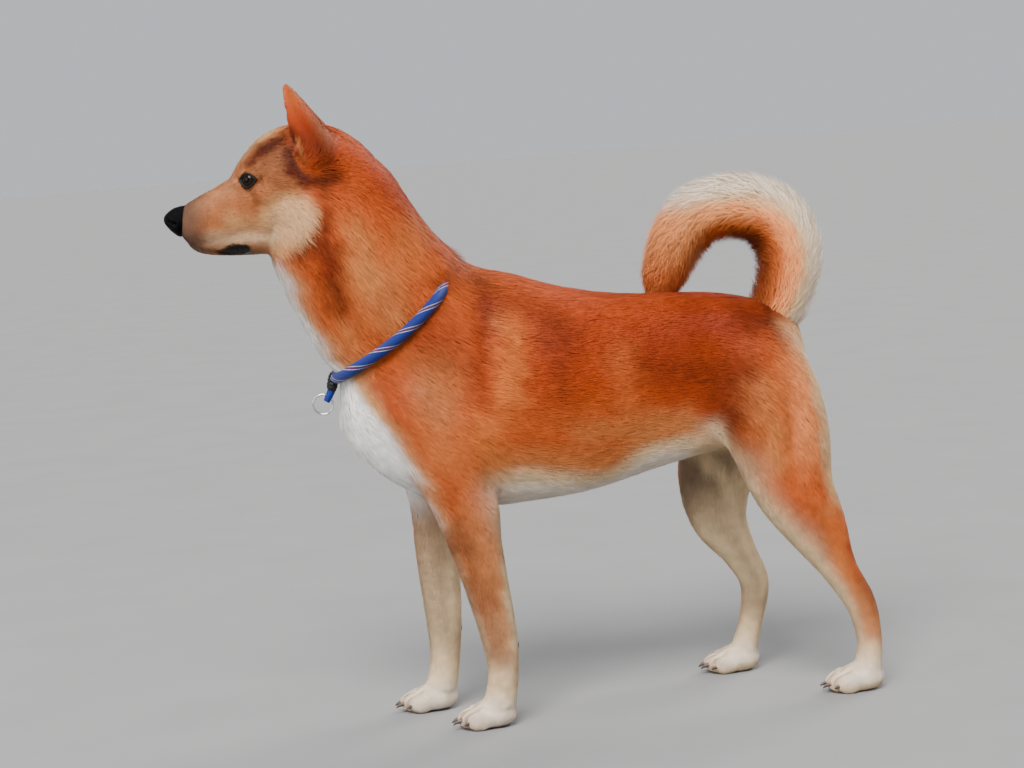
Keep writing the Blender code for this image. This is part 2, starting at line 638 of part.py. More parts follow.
def coat_of(name):
    """The coat colour of a region."""
    if "foot" in name:
        return "coat_cream"
    if name in ("head", "tail_crown") or "forearm" in name or "lower_leg" in name:
        return "coat_tan"
    return "coat_red"


clear_scene()
paint = {name: principled(name, 0.85) for name in COLOURS if name.startswith("coat")}
paint["nose_leather"] = principled("nose_leather", 0.35)
paint["eye_brown"] = principled("eye_brown", 0.08)
paint["claw_horn"] = principled("claw_horn", 0.40)
paint["collar_blue"] = principled("collar_blue", 0.70)
paint["collar_black"] = principled("collar_black", 0.50)
paint["ring_steel"] = principled("ring_steel", 0.25, metallic=1.0)

body = whole_flesh()

# The eyes and the nose sit in sockets cut a little larger than they are; the claws stand on the toes.
for side, place in eye_places():
    eyeball = new_object(f"eye_{side}", *ellipsoid(place, (EYE_RADIUS,) * 3, 12, 8), paint["eye_brown"])
    socket = new_object("socket", *ellipsoid(place, (EYE_RADIUS + GAP,) * 3, 12, 8), paint["eye_brown"])
    cut_by(body, socket)
nose = outward(new_object("nose", *tube(head_path(NOSE_PATH), NOSE_GIRTH, 14, 1.5), paint["nose_leather"]))
cut_by(body, inflated(nose))
for sign in SIDES.values():
    (ahead, across, height), reach = NOSTRIL
    hole = ellipsoid(head_to_body((ahead, sign * across, height))[0], reach, 8, 6)
    cut_by(nose, new_object("nostril", *hole, paint["nose_leather"]))
for foot, all_joints in (("fore", FORE_JOINTS), ("hind", HIND_JOINTS)):
    for side, joints in all_joints.items():
        for number, toe in enumerate(TOES, 1):
            claw = new_object(f"claw_{foot}_{side}_{number}", *claw_shape(joints, toe), paint["claw_horn"])
            cut_by(outward(claw), inflated(body))

# The ears and the tail are closed bodies that stand on the flesh.
for side, sign in SIDES.items():
    ear = outward(new_object(f"ear_{side}", *ear_shape(sign), paint["coat_red"]))
    cut_by(ear, inflated(body))
stops = list(TAIL_STARTS.values())[1:]
for number, (name, start) in enumerate(TAIL_STARTS.items()):
    first = start + (TAIL_GAP if number else 0)
    last = stops[number] - TAIL_GAP if number < len(stops) else len(TAIL_PATH) - 1
    length = tube(TAIL_PATH, TAIL_GIRTH, 14, 2, first, last)
    joint = outward(new_object(name, *length, paint[coat_of(name)]))
    if name in ("tail_root", "tail_fall"):
        cut_by(joint, inflated(body))

# The collar is a round padded cord that beds in the coat, closed by a stop at the front.
loop = collar_loop(body)
slant = unit(np.cross(np.array(COLLAR_FRONT) - np.array(COLLAR_TOP), (0, 1, 0)))
collar = outward(new_object("collar", *loop_tube(loop, slant, COLLAR_HALF_WIDTH, COLLAR_HALF_THICK, 7),
                            paint["collar_blue"]))
bed = loop_tube(loop, slant, COLLAR_HALF_WIDTH + GAP, COLLAR_HALF_THICK + GAP, 7)
cut_by(body, outward(new_object("collar_bed", *bed, paint["collar_blue"])))

# Below the stop a short tab folds round the wire of a steel ring.
stop = outward(new_object("collar_stop", *tube(STOP_PATH, STOP_GIRTH, 12, 2), paint["collar_black"]))
cut_by(body, inflated(stop))
cut_by(collar, inflated(stop))
tab = outward(new_object("collar_tab", *tube(TAB_PATH, TAB_GIRTH, 12, 2), paint["collar_blue"]))
facing = np.array([-math.sin(HEAD_TURN), -math.cos(HEAD_TURN), 0])
turn = np.linspace(0, 2 * np.pi, 22, endpoint=False)
wire = np.array(RING_CENTRE) + RING_RADIUS * (np.cos(turn)[:, None] * np.cross(facing, (0, 0, 1))
                                              + np.sin(turn)[:, None] * [0, 0, 1])
outward(new_object("collar_ring", *loop_tube(wire, facing, RING_WIRE, RING_WIRE, 7), paint["ring_steel"]))
eyelet = loop_tube(wire, facing, RING_WIRE + GAP, RING_WIRE + GAP, 7)
cut_by(tab, outward(new_object("eyelet", *eyelet, paint["ring_steel"])))
cut_by(tab, inflated(stop))

for cutter in parting_sheets():
    cut_by(body, cutter)
part_flesh(body)
for thing in bpy.data.objects:
    thing.location = (-CENTRE[0], -CENTRE[1], 0)
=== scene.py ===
"""Looks of a standing, prick-eared, curl-tailed dog in its coat and collar.

One skin is merged over the whole body and set in from the coat's outline. Half a million
tapered locks stand over it, lying the way each stretch of the body is combed, and both take their
colours from one rule: the coat's pattern, with painted shade and painted highlights mixed in.
Metres throughout; the dog faces -X, its left side is towards -Y.
"""

import math

import bmesh
import bpy
import numpy as np
from mathutils import Matrix, Vector


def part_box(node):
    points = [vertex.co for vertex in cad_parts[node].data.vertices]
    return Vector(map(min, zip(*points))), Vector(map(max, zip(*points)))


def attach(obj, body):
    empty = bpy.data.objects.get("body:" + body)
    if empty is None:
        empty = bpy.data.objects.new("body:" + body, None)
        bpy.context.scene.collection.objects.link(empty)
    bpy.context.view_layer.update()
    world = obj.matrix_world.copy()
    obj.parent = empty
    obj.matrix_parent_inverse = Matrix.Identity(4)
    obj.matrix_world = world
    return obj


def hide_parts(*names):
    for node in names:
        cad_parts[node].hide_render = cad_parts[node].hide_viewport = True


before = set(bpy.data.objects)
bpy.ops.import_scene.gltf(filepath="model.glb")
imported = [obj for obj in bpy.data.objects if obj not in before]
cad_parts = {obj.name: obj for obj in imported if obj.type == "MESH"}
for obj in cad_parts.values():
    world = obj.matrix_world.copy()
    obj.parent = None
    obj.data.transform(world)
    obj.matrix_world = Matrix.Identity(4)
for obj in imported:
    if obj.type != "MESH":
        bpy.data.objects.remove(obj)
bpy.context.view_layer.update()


# ---- Skin -------------------------------------------------------------------------------
# The living dog's hide: one unbroken surface from the nose to the tail. Each limb is a tube of
# oval sections round a path, all tubes are merged, relaxed, and set in by the depth of the coat.

MIDDLE = np.array([-0.0083, -0.0011, 0.0])     # middle of the stance in the paths' own figures
HEAD_TURN = math.radians(8)
HEAD_AHEAD = np.array([-math.cos(HEAD_TURN), math.sin(HEAD_TURN), 0.0])
HEAD_RIGHT = np.array([math.sin(HEAD_TURN), math.cos(HEAD_TURN), 0.0])
HEAD_UP = np.array([0.0, 0.0, 1.0])
HEAD_PIVOT = np.array([-0.160, 0.0, 0.0]) - MIDDLE
SKIN_CELL = 0.0022                 # side of the cells that the shapes are merged in
SKIN_FACES = 178000
SKIN_SET_IN = 0.85                 # share of the coat's depth that the skin lies below its outline
SOLE_HEIGHT = 0.0004               # nothing of skin or coat comes nearer to the ground
SIDES = {"left": -1, "right": 1}


def placed(rows):
    """Rows of points moved so that the middle of the stance is at the origin."""
    return np.asarray(rows, float) - MIDDLE


def on_head(points):
    """Points given ahead of the neck's pivot, to the right and up, turned with the head."""
    points = np.asarray(points, float).reshape(-1, 3)
    return HEAD_PIVOT + points @ np.stack([HEAD_AHEAD, HEAD_RIGHT, HEAD_UP])


def in_head(points):
    """The way back: ahead, to the right and up in the head's own frame."""
    return (points - HEAD_PIVOT) @ np.stack([HEAD_AHEAD, HEAD_RIGHT, HEAD_UP], 1)


TRUNK_PATH = placed([
    (0.337, 0, 0.382), (0.300, 0, 0.402), (0.245, 0, 0.408), (0.190, 0, 0.408), (0.130, 0, 0.403),
    (0.060, 0, 0.396), (0.000, 0, 0.390), (-0.060, 0, 0.385), (-0.120, 0, 0.385),
    (-0.175, 0, 0.386), (-0.226, 0, 0.394),
])
TRUNK_GIRTH = [
    (0, 0.020, 0.033, 0.034, 2.0), (1, 0.064, 0.078, 0.070, 2.0), (2, 0.080, 0.108, 0.082, 2.1),
    (3, 0.086, 0.117, 0.080, 2.2), (4, 0.096, 0.124, 0.081, 2.2), (5, 0.118, 0.133, 0.091, 2.2),
    (6, 0.146, 0.133, 0.096, 2.1), (7, 0.164, 0.130, 0.092, 2.0), (8, 0.160, 0.122, 0.082, 2.0),
    (9, 0.112, 0.084, 0.067, 2.0), (10, 0.046, 0.033, 0.036, 2.0),
]
NECK_PATH = placed([
    (-0.080, 0, 0.400), (-0.122, 0, 0.452), (-0.160, 0, 0.507), (-0.187, 0.001, 0.553),
    (-0.210, 0.003, 0.600), (-0.228, 0.007, 0.642), (-0.240, 0.010, 0.678),
])
NECK_GIRTH = [
    (0, 0.116, 0.112, 0.078, 2.0), (1, 0.114, 0.108, 0.079, 2.0), (2, 0.103, 0.101, 0.074, 2.0),
    (3, 0.096, 0.096, 0.070, 2.0), (4, 0.093, 0.090, 0.067, 2.0), (5, 0.087, 0.072, 0.061, 2.0),
    (6, 0.070, 0.045, 0.048, 2.0),
]
SKULL_PATH = on_head([(ahead, 0, 0.655) for ahead in (0.008, 0.040, 0.072, 0.104, 0.134, 0.156, 0.172)])
SKULL_GIRTH = [
    (0, 0.044, 0.045, 0.038, 2.0), (1, 0.067, 0.062, 0.055, 2.1), (2, 0.076, 0.070, 0.059, 2.2),
    (3, 0.075, 0.074, 0.056, 2.2), (4, 0.0635, 0.071, 0.047, 2.2), (5, 0.043, 0.062, 0.037, 2.2),
    (6, 0.020, 0.045, 0.026, 2.2),
]
MUZZLE_PATH = on_head([
    (0.130, 0, 0.634), (0.160, 0, 0.632), (0.185, 0, 0.628), (0.208, 0, 0.6245), (0.226, 0, 0.6230),
    (0.236, 0, 0.6230),
])
MUZZLE_GIRTH = [
    (0, 0.044, 0.040, 0.036, 2.4), (1, 0.043, 0.036, 0.034, 2.5), (2, 0.036, 0.034, 0.030, 2.6),
    (3, 0.030, 0.032, 0.0265, 2.6), (4, 0.0235, 0.0260, 0.0215, 2.4), (5, 0.0165, 0.0150, 0.0135, 2.2),
]
JAW_PATH = on_head([
    (0.060, 0, 0.618), (0.100, 0, 0.610), (0.145, 0, 0.606), (0.185, 0, 0.604), (0.212, 0, 0.604),
    (0.227, 0, 0.607),
])
JAW_GIRTH = [
    (0, 0.030, 0.030, 0.040, 2.0), (1, 0.030, 0.032, 0.044, 2.1), (2, 0.025, 0.0270, 0.031, 2.2),
    (3, 0.020, 0.0230, 0.0235, 2.2), (4, 0.016, 0.0185, 0.019, 2.2), (5, 0.009, 0.011, 0.011, 2.0),
]
# Cheek, cheekbone and brow on each side: centre and half-lengths in the head's frame.
HEAD_PADS = [
    ((0.084, 0.034, 0.626), (0.040, 0.028, 0.044)),
    ((0.112, 0.036, 0.650), (0.034, 0.017, 0.020)),
    ((0.142, 0.024, 0.686), (0.016, 0.013, 0.012)),
]
FORE_JOINTS = {
    "left": placed([
        (-0.128, -0.052, 0.430), (-0.112, -0.062, 0.350), (-0.093, -0.066, 0.268),
        (-0.078, -0.066, 0.185), (-0.066, -0.064, 0.108), (-0.064, -0.063, 0.062),
        (-0.070, -0.062, 0.026),
    ]),
    "right": placed([
        (-0.132, 0.052, 0.430), (-0.120, 0.060, 0.350), (-0.111, 0.062, 0.268),
        (-0.117, 0.059, 0.185), (-0.118, 0.055, 0.108), (-0.120, 0.052, 0.062),
        (-0.127, 0.051, 0.026),
    ]),
}
FORE_GIRTH = [
    (0, 0.062, 0.062, 0.030, 2.0), (1, 0.056, 0.058, 0.035, 2.0), (2, 0.040, 0.038, 0.030, 2.1),
    (3, 0.0285, 0.0275, 0.0235, 2.1), (4, 0.0215, 0.0225, 0.0205, 2.2),
    (5, 0.0185, 0.0185, 0.0185, 2.1), (6, 0.0200, 0.0190, 0.0220, 2.0),
]
HIND_JOINTS = {
    "left": placed([
        (0.262, -0.046, 0.430), (0.282, -0.056, 0.370), (0.294, -0.064, 0.310),
        (0.302, -0.070, 0.255), (0.327, -0.076, 0.200), (0.351, -0.080, 0.150),
        (0.374, -0.082, 0.105), (0.382, -0.083, 0.060), (0.378, -0.083, 0.026),
    ]),
    "right": placed([
        (0.258, 0.046, 0.430), (0.270, 0.056, 0.370), (0.262, 0.064, 0.310),
        (0.240, 0.069, 0.255), (0.241, 0.073, 0.200), (0.267, 0.075, 0.150),
        (0.283, 0.076, 0.110), (0.275, 0.077, 0.062), (0.264, 0.077, 0.026),
    ]),
}
HIND_GIRTH = [
    (0, 0.058, 0.052, 0.040, 2.0), (1, 0.070, 0.063, 0.042, 2.0), (2, 0.066, 0.061, 0.042, 2.0),
    (3, 0.050, 0.051, 0.036, 2.0), (4, 0.036, 0.038, 0.0275, 2.1), (5, 0.0225, 0.0215, 0.0205, 2.1),
    (6, 0.0185, 0.0185, 0.0175, 2.1), (7, 0.0150, 0.0150, 0.0160, 2.1),
    (8, 0.0165, 0.0165, 0.0190, 2.0),
]
TAIL_PATH = placed([
    (0.292, 0.000, 0.432), (0.316, 0.000, 0.468), (0.330, 0.002, 0.502), (0.333, 0.004, 0.532),
    (0.326, 0.008, 0.558), (0.307, 0.014, 0.577), (0.279, 0.021, 0.586), (0.246, 0.029, 0.584),
    (0.223, 0.037, 0.572), (0.207, 0.044, 0.551), (0.197, 0.050, 0.528), (0.189, 0.055, 0.506),
    (0.183, 0.059, 0.486),
])
TAIL_GIRTH = [
    (0, 0.024, 0.024, 0.024, 2.0), (1, 0.022, 0.022, 0.021, 2.0), (2, 0.017, 0.017, 0.017, 2.0),
    (4, 0.014, 0.014, 0.014, 2.0), (6, 0.012, 0.012, 0.012, 2.0), (8, 0.011, 0.011, 0.011, 2.0),
    (10, 0.008, 0.008, 0.008, 2.0), (12, 0.004, 0.004, 0.004, 2.0),
]
EAR_BASE = (0.066, 0.036, 0.686)
EAR_TIP = (0.097, 0.045, 0.776)
EAR_DROP = 0.008                   # the right ear is held this much lower than the left
EAR_FACING = math.radians(38)
# Station from base to tip, half-width of the cup, its depth, and how far round it closes.
EAR_ROWS = [
    (0.00, 0.0270, 0.0230, 118), (0.22, 0.0260, 0.0200, 106), (0.45, 0.0225, 0.0150, 92),
    (0.68, 0.0172, 0.0098, 82), (0.86, 0.0118, 0.0068, 76), (1.00, 0.0048, 0.0040, 70),
]
EAR_THICK = 0.0046
# Toes of one foot, from the pad's centre: forward, sideways, length, half-width.
TOES = [(0.0185, -0.0165, 0.0160, 0.0083), (0.0295, -0.0062, 0.0175, 0.0087),
        (0.0295, 0.0062, 0.0175, 0.0087), (0.0185, 0.0165, 0.0160, 0.0083)]


def spline(knots, rows, at):
    """Rows read at knots: cubic Hermite between them, each slope from its two neighbours."""
    knots, rows = np.asarray(knots, float), np.asarray(rows, float)
    slope = np.gradient(rows, knots, axis=0)
    at = np.atleast_1d(at)
    low = np.clip(np.searchsorted(knots, at, side="right") - 1, 0, len(knots) - 2)
    span = (knots[low + 1] - knots[low])[:, None]
    s = (at - knots[low])[:, None] / span
    return ((2 * s**3 - 3 * s**2 + 1) * rows[low] + (s**3 - 2 * s**2 + s) * span * slope[low]
            + (3 * s**2 - 2 * s**3) * rows[low + 1] + (s**3 - s**2) * span * slope[low + 1])


def unit(rows):
    """Rows scaled to length one."""
    return rows / np.maximum(np.linalg.norm(rows, axis=-1, keepdims=True), 1e-12)


def path_frames(path, at):
    """Centre, way ahead, sideways and upward axes of a path, sideways kept near +Y."""
    knots = np.arange(len(path))
    ahead = unit(spline(knots, path, np.clip(at + 0.02, 0, len(path) - 1))
                 - spline(knots, path, np.clip(at - 0.02, 0, len(path) - 1)))
    side = np.array([0.0, 1.0, 0.0])
    side = unit(side - (ahead @ side)[:, None] * ahead)
    return spline(knots, path, at), ahead, side, np.cross(side, ahead)


def grid_faces(rows, ring):
    """Quads of a grid that closes on itself the second way."""
    i, j = np.meshgrid(np.arange(rows - 1) * ring, np.arange(ring), indexing="ij")
    after = (j + 1) % ring
    return np.stack([i + j, i + after, i + ring + after, i + ring + j], -1).reshape(-1, 4)


def capped(points, ring):
    """Faces of a tube of rings, with one face over each end."""
    rows = len(points) // ring
    faces = grid_faces(rows, ring).tolist()
    return points, faces + [list(range(ring))[::-1], list(range((rows - 1) * ring, rows * ring))]


def oval_tube(path, girth, ring=36, per_knot=5):
    """Sections |x/side|^n + |z/reach|^n = 1 carried square to a smooth path."""
    at = np.linspace(0, len(path) - 1, (len(path) - 1) * per_knot + 1)
    centre, _, side, up = path_frames(path, at)
    girth = np.asarray(girth, float)
    reach = spline(girth[:, 0], girth[:, 1:], at)
    turn = np.linspace(0, 2 * np.pi, ring, endpoint=False)
    flat = 2 / reach[:, 3:4]
    rise = np.sign(np.cos(turn)) * np.abs(np.cos(turn)) ** flat
    out = np.sign(np.sin(turn)) * np.abs(np.sin(turn)) ** flat
    height = np.where(rise > 0, reach[:, 0:1], reach[:, 1:2]) * rise
    points = (centre[:, None] + height[..., None] * up[:, None]
              + (reach[:, 2:3] * out)[..., None] * side[:, None])
    return capped(points.reshape(-1, 3), ring)


def ovoid(centre, reach, rows=14, ring=22):
    """An ellipsoid: rings of radius sin(a) at height cos(a), stretched by its half-lengths."""
    a = np.linspace(0.08, np.pi - 0.08, rows)[:, None]
    b = np.linspace(0, 2 * np.pi, ring, endpoint=False)[None]
    ball = np.stack([np.sin(a) * np.cos(b), np.sin(a) * np.sin(b), np.cos(a) + 0 * b], -1)
    return capped(np.asarray(centre) + ball.reshape(-1, 3) * np.asarray(reach), ring)


def ear_frame(sign):
    """Base, tip, way across and way that the cup of one ear opens."""
    base, tip = on_head([(p[0], sign * p[1], p[2]) for p in (EAR_BASE, EAR_TIP)])
    tip = tip - [0, 0, EAR_DROP * (sign > 0)]
    turn = HEAD_TURN - sign * EAR_FACING
    axis = unit(tip - base)
    facing = np.array([-math.cos(turn), math.sin(turn), 0])
    facing = unit(facing - (facing @ axis) * axis)
    return base, tip, np.cross(axis, facing), facing


def ear_leaf(sign, rows=26, half_ring=17):
    """A cupped leaf: arcs of an oval, closing round towards the base, given a thickness."""
    base, tip, across, facing = ear_frame(sign)
    t = np.linspace(-0.06, 1, rows)
    half, depth, closing = spline([r[0] for r in EAR_ROWS], [r[1:] for r in EAR_ROWS],
                                  np.clip(t, 0, 1)).T[:, :, None]
    swing = np.linspace(-1, 1, half_ring)[None] * np.radians(closing)
    wall = np.minimum(EAR_THICK, 0.75 * half)
    outer = np.stack([half * np.sin(swing), -depth * np.cos(swing)], -1)
    inner = np.stack([(half - wall) * np.sin(swing), -(depth - wall) * np.cos(swing)], -1)[:, ::-1]
    loop = np.concatenate([outer, inner], 1)
    centre = base + (tip - base) * t[:, None]
    points = centre[:, None] + loop[..., :1] * across + loop[..., 1:] * facing
    return capped(points.reshape(-1, 3), 2 * half_ring)


def foot_centre(joints):
    """Middle of a foot's pad, a little ahead of the last joint."""
    return joints[-1] + [-0.010, 0, -0.011]


def body_shapes():
    """Every closed shape that the skin is merged from."""
    yield oval_tube(TRUNK_PATH, TRUNK_GIRTH, 64)
    yield oval_tube(NECK_PATH, NECK_GIRTH, 64)
    yield oval_tube(SKULL_PATH, SKULL_GIRTH, 48)
    yield oval_tube(MUZZLE_PATH, MUZZLE_GIRTH, 48)
    yield oval_tube(JAW_PATH, JAW_GIRTH, 40)
    yield oval_tube(TAIL_PATH, TAIL_GIRTH, 24)
    for side, sign in SIDES.items():
        for centre, reach in HEAD_PADS:
            yield ovoid(on_head((centre[0], sign * centre[1], centre[2]))[0], reach)
        yield ear_leaf(sign)
        yield oval_tube(FORE_JOINTS[side], FORE_GIRTH)
        yield oval_tube(HIND_JOINTS[side], HIND_GIRTH)
        for joints in (FORE_JOINTS[side], HIND_JOINTS[side]):
            centre = foot_centre(joints)
            yield ovoid(centre, (0.030, 0.0235, 0.0185))
            for ahead, across, length, half in TOES:
                yield ovoid(centre + [-ahead, across, -0.003], (length, half, 0.0140))


def new_mesh(name, points, faces):
    """A mesh object from points and faces, smooth shaded, at the origin."""
    mesh = bpy.data.meshes.new(name)
    mesh.from_pydata(points.tolist(), [], faces if isinstance(faces, list) else faces.tolist())
    mesh.shade_smooth()
    made = bpy.data.objects.new(name, mesh)
    bpy.context.scene.collection.objects.link(made)
    return made


def joined(shapes):
    """Several point and face sets as one."""
    points, faces, start = [], [], 0
    for some, their_faces in shapes:
        points.append(some)
        faces += [[i + start for i in face] for face in their_faces]
        start += len(some)
    return np.concatenate(points), faces


def outward(thing):
    """Doubles merged and faces turned outward."""
    shape = bmesh.new()
    shape.from_mesh(thing.data)
    bmesh.ops.remove_doubles(shape, verts=shape.verts, dist=1e-6)
    bmesh.ops.recalc_face_normals(shape, faces=shape.faces)
    shape.to_mesh(thing.data)
    shape.free()
    return thing


def baked(thing):
    """The object with its modifiers turned into its mesh."""
    bpy.context.view_layer.update()
    seen = thing.evaluated_get(bpy.context.evaluated_depsgraph_get())
    mesh = bpy.data.meshes.new_from_object(seen)
    thing.modifiers.clear()
    thing.data = mesh
    return thing


def mesh_points(mesh):
    """Places of a mesh's points as one array."""
    flat = np.zeros(3 * len(mesh.vertices), np.float32)
    mesh.vertices.foreach_get("co", flat)
    return flat.reshape(-1, 3).astype(float)


def mesh_corners(mesh, sides):
    """Point numbers of a mesh whose faces all have the same number of sides."""
    flat = np.zeros(len(mesh.loops), np.int32)
    mesh.loops.foreach_get("vertex_index", flat)
    return flat.reshape(-1, sides)


def relaxed(points, quads, share, rounds):
    """Each point moved its share of the way to the mean of its neighbours, some rounds over."""
    start, end = quads.ravel(), np.roll(quads, -1, axis=1).ravel()
    count = np.bincount(start, minlength=len(points))[:, None]
    for _ in range(rounds):
        total = np.stack([np.bincount(start, points[end, k], len(points)) for k in range(3)], 1)
        points = points + share[:, None] * (total / count - points)
    return points


def point_normals(points, faces):
    """Outward normals at points: the sum of their faces' areas, as vectors."""
    across = np.cross(points[faces[:, 2]] - points[faces[:, 0]],
                      points[faces[:, -1]] - points[faces[:, 1]])
    total = np.zeros_like(points)
    for k in range(3):
        total[:, k] = np.bincount(faces.ravel(), np.repeat(across[:, k], faces.shape[1]), len(points))
    return unit(total)


def ramp(value, low, high):
    """Smooth step from 0 at low to 1 at high."""
    t = np.clip((value - low) / (high - low), 0, 1)
    return t * t * (3 - 2 * t)


def segment_distance(points, a, b):
    """Distance from points to the straight stretch between two places, and the share along it."""
    a, b = np.asarray(a, float), np.asarray(b, float)
    share = np.clip((points - a) @ (b - a) / ((b - a) @ (b - a)), 0, 1)
    return np.linalg.norm(points - a - share[:, None] * (b - a), axis=1), share


def path_distance(points, path):
    """Distance from points to a path of straight stretches."""
    return np.min([segment_distance(points, a, b)[0] for a, b in zip(path[:-1], path[1:])], axis=0)


def lumps(points, size, seed):
    """Smooth noise from -1 to 1: a sum of sine waves of about one length in random directions."""
    chance = np.random.default_rng(seed)
    waves = unit(chance.normal(size=(10, 3))) * (2 * np.pi / size) * chance.uniform(0.6, 1.5, (10, 1))
    return np.sin(points @ waves.T + chance.uniform(0, 6.28, 10)).sum(1) / 4.5


# How each stretch of the body is combed. A row holds: station on the path, depth of the coat,
# length and width of a lock, all in millimetres, then what is added to the lie backward and down.
# The way is +1 where the hair lies along the path and -1 where it lies against it.
CHEEK = {side: on_head([(0.128, sign * 0.036, 0.652), (0.092, sign * 0.046, 0.632),
                        (0.060, sign * 0.050, 0.612)]) for side, sign in SIDES.items()}
EARS = {side: on_head([(p[0], sign * p[1], p[2]) for p in
                       (EAR_BASE, (0.0815, 0.0405, 0.7315), EAR_TIP)]) for side, sign in SIDES.items()}
TRUNK_COAT = [(0, 8, 30, 0.90, 0, 1.0), (2, 6.5, 26, 0.85, 0, 0.25), (4, 6, 25, 0.85, 0, 0.12),
              (6, 6.5, 26, 0.85, 0, 0.20), (8, 7.5, 28, 0.85, 0, 0.70), (10, 9, 30, 0.90, 0.3, 1.4)]
NECK_COAT = [(0, 9, 30, 0.90, 0.2, 0), (2, 10.5, 32, 0.95, 0.1, 0), (4, 10, 30, 0.90, 0.1, 0),
             (6, 7, 20, 0.85, 0, 0)]
SKULL_COAT = [(0, 6, 17, 0.85, 0, 0.1), (2, 3.2, 11, 0.65, 0, 0), (4, 2.2, 7.5, 0.55, 0, 0),
              (6, 1.5, 5.5, 0.50, 0, 0)]
MUZZLE_COAT = [(0, 1.6, 6, 0.50, 0, 0.1), (3, 1.1, 4.4, 0.46, 0, 0.15), (5, 0.9, 3.2, 0.42, 0, 0.2)]
JAW_COAT = [(0, 6, 16, 0.80, 0, 0.5), (2, 3, 9, 0.60, 0, 0.3), (5, 1.2, 4.5, 0.46, 0, 0.1)]
CHEEK_COAT = [(0, 2.0, 7.5, 0.60, 0, 0.2), (1, 4.0, 13, 0.75, 0, 0.5), (2, 7, 20, 0.85, 0, 0.6)]
FORE_COAT = [(0, 6.5, 23, 0.85, 0.7, 0), (1, 5, 19, 0.80, 0.5, 0), (2, 3.6, 13, 0.72, 0.15, 0),
             (3, 2.4, 10, 0.66, 0, 0), (4, 1.9, 8.5, 0.62, 0, 0), (5, 1.7, 7.5, 0.60, 0, 0),
             (6, 1.5, 5.5, 0.55, -1.2, 0)]
HIND_COAT = [(0, 7, 26, 0.90, 0.8, 0), (1, 6.5, 25, 0.90, 0.5, 0), (2, 5.5, 21, 0.85, 0.3, 0),
             (3, 4.2, 16, 0.78, 0.1, 0), (4, 3, 12, 0.72, 0, 0), (5, 2.4, 9.5, 0.68, 0, 0),
             (6, 2, 8, 0.64, 0, 0), (7, 1.8, 7, 0.60, 0, 0), (8, 1.5, 5.5, 0.55, -1.2, 0)]
TAIL_COAT = [(0, 13, 34, 1.1, 0, 0), (1, 17, 40, 1.2, 0, 0), (2, 23, 46, 1.3, 0, 0),
             (4, 32, 52, 1.3, 0, 0), (6, 31, 54, 1.3, 0, 0), (8, 29, 52, 1.3, 0, 0),
             (10, 22, 44, 1.2, 0, 0), (12, 10, 30, 1.1, 0, 0)]
EAR_COAT = [(0, 2.0, 8.5, 0.62, 0, 0), (1, 1.3, 6, 0.55, 0, 0), (2, 1.0, 4.5, 0.48, 0, 0)]
CHEEK_GIRTH = [(0, 0.016, 0.016, 0.016, 2.0), (2, 0.020, 0.020, 0.020, 2.0)]
EAR_GIRTH = [(0, 0.034, 0.034, 0.034, 2.0), (1, 0.024, 0.024, 0.024, 2.0), (2, 0.012, 0.012, 0.012, 2.0)]
STRETCHES = {
    "trunk": (TRUNK_PATH, TRUNK_GIRTH, -1, TRUNK_COAT),
    "neck": (NECK_PATH, NECK_GIRTH, -1, NECK_COAT),
    "skull": (SKULL_PATH, SKULL_GIRTH, -1, SKULL_COAT),
    "muzzle": (MUZZLE_PATH, MUZZLE_GIRTH, -1, MUZZLE_COAT),
    "jaw": (JAW_PATH, JAW_GIRTH, -1, JAW_COAT),
    "tail": (TAIL_PATH, TAIL_GIRTH, 1, TAIL_COAT),
}
for one in SIDES:
    STRETCHES[f"cheek_{one}"] = (CHEEK[one], CHEEK_GIRTH, 1, CHEEK_COAT)
    STRETCHES[f"ear_{one}"] = (EARS[one], EAR_GIRTH, 1, EAR_COAT)
    STRETCHES[f"fore_{one}"] = (FORE_JOINTS[one], FORE_GIRTH, 1, FORE_COAT)
    STRETCHES[f"hind_{one}"] = (HIND_JOINTS[one], HIND_GIRTH, 1, HIND_COAT)
NAMES = list(STRETCHES)
PER_KNOT = 4       # samples of a path for each of its knots


def stretch_samples():
    """For samples along every path: stretch, share along it, place, reach, frame and coat."""
    rows = []
    for number, (path, girth, way, coat) in enumerate(STRETCHES.values()):
        at = np.linspace(0, len(path) - 1, (len(path) - 1) * PER_KNOT + 1)
        centre, ahead, side, up = path_frames(path, at)
        girth, coat = np.asarray(girth, float), np.asarray(coat, float)
        reach = spline(girth[:, 0], girth[:, 1:4], at)
        hair = spline(coat[:, 0], coat[:, 1:], at)
        lie = way * ahead + hair[:, 3:4] * [1, 0, 0] - hair[:, 4:5] * [0, 0, 1]
        mean = (reach[:, 0] + reach[:, 1]) / 4 + reach[:, 2] / 2
        rows.append(np.column_stack([np.full(len(at), number), at / (len(path) - 1), centre, mean,
                                     side, up, unit(lie), hair[:, :3]]))
    return np.concatenate(rows)


SAMPLES = stretch_samples()


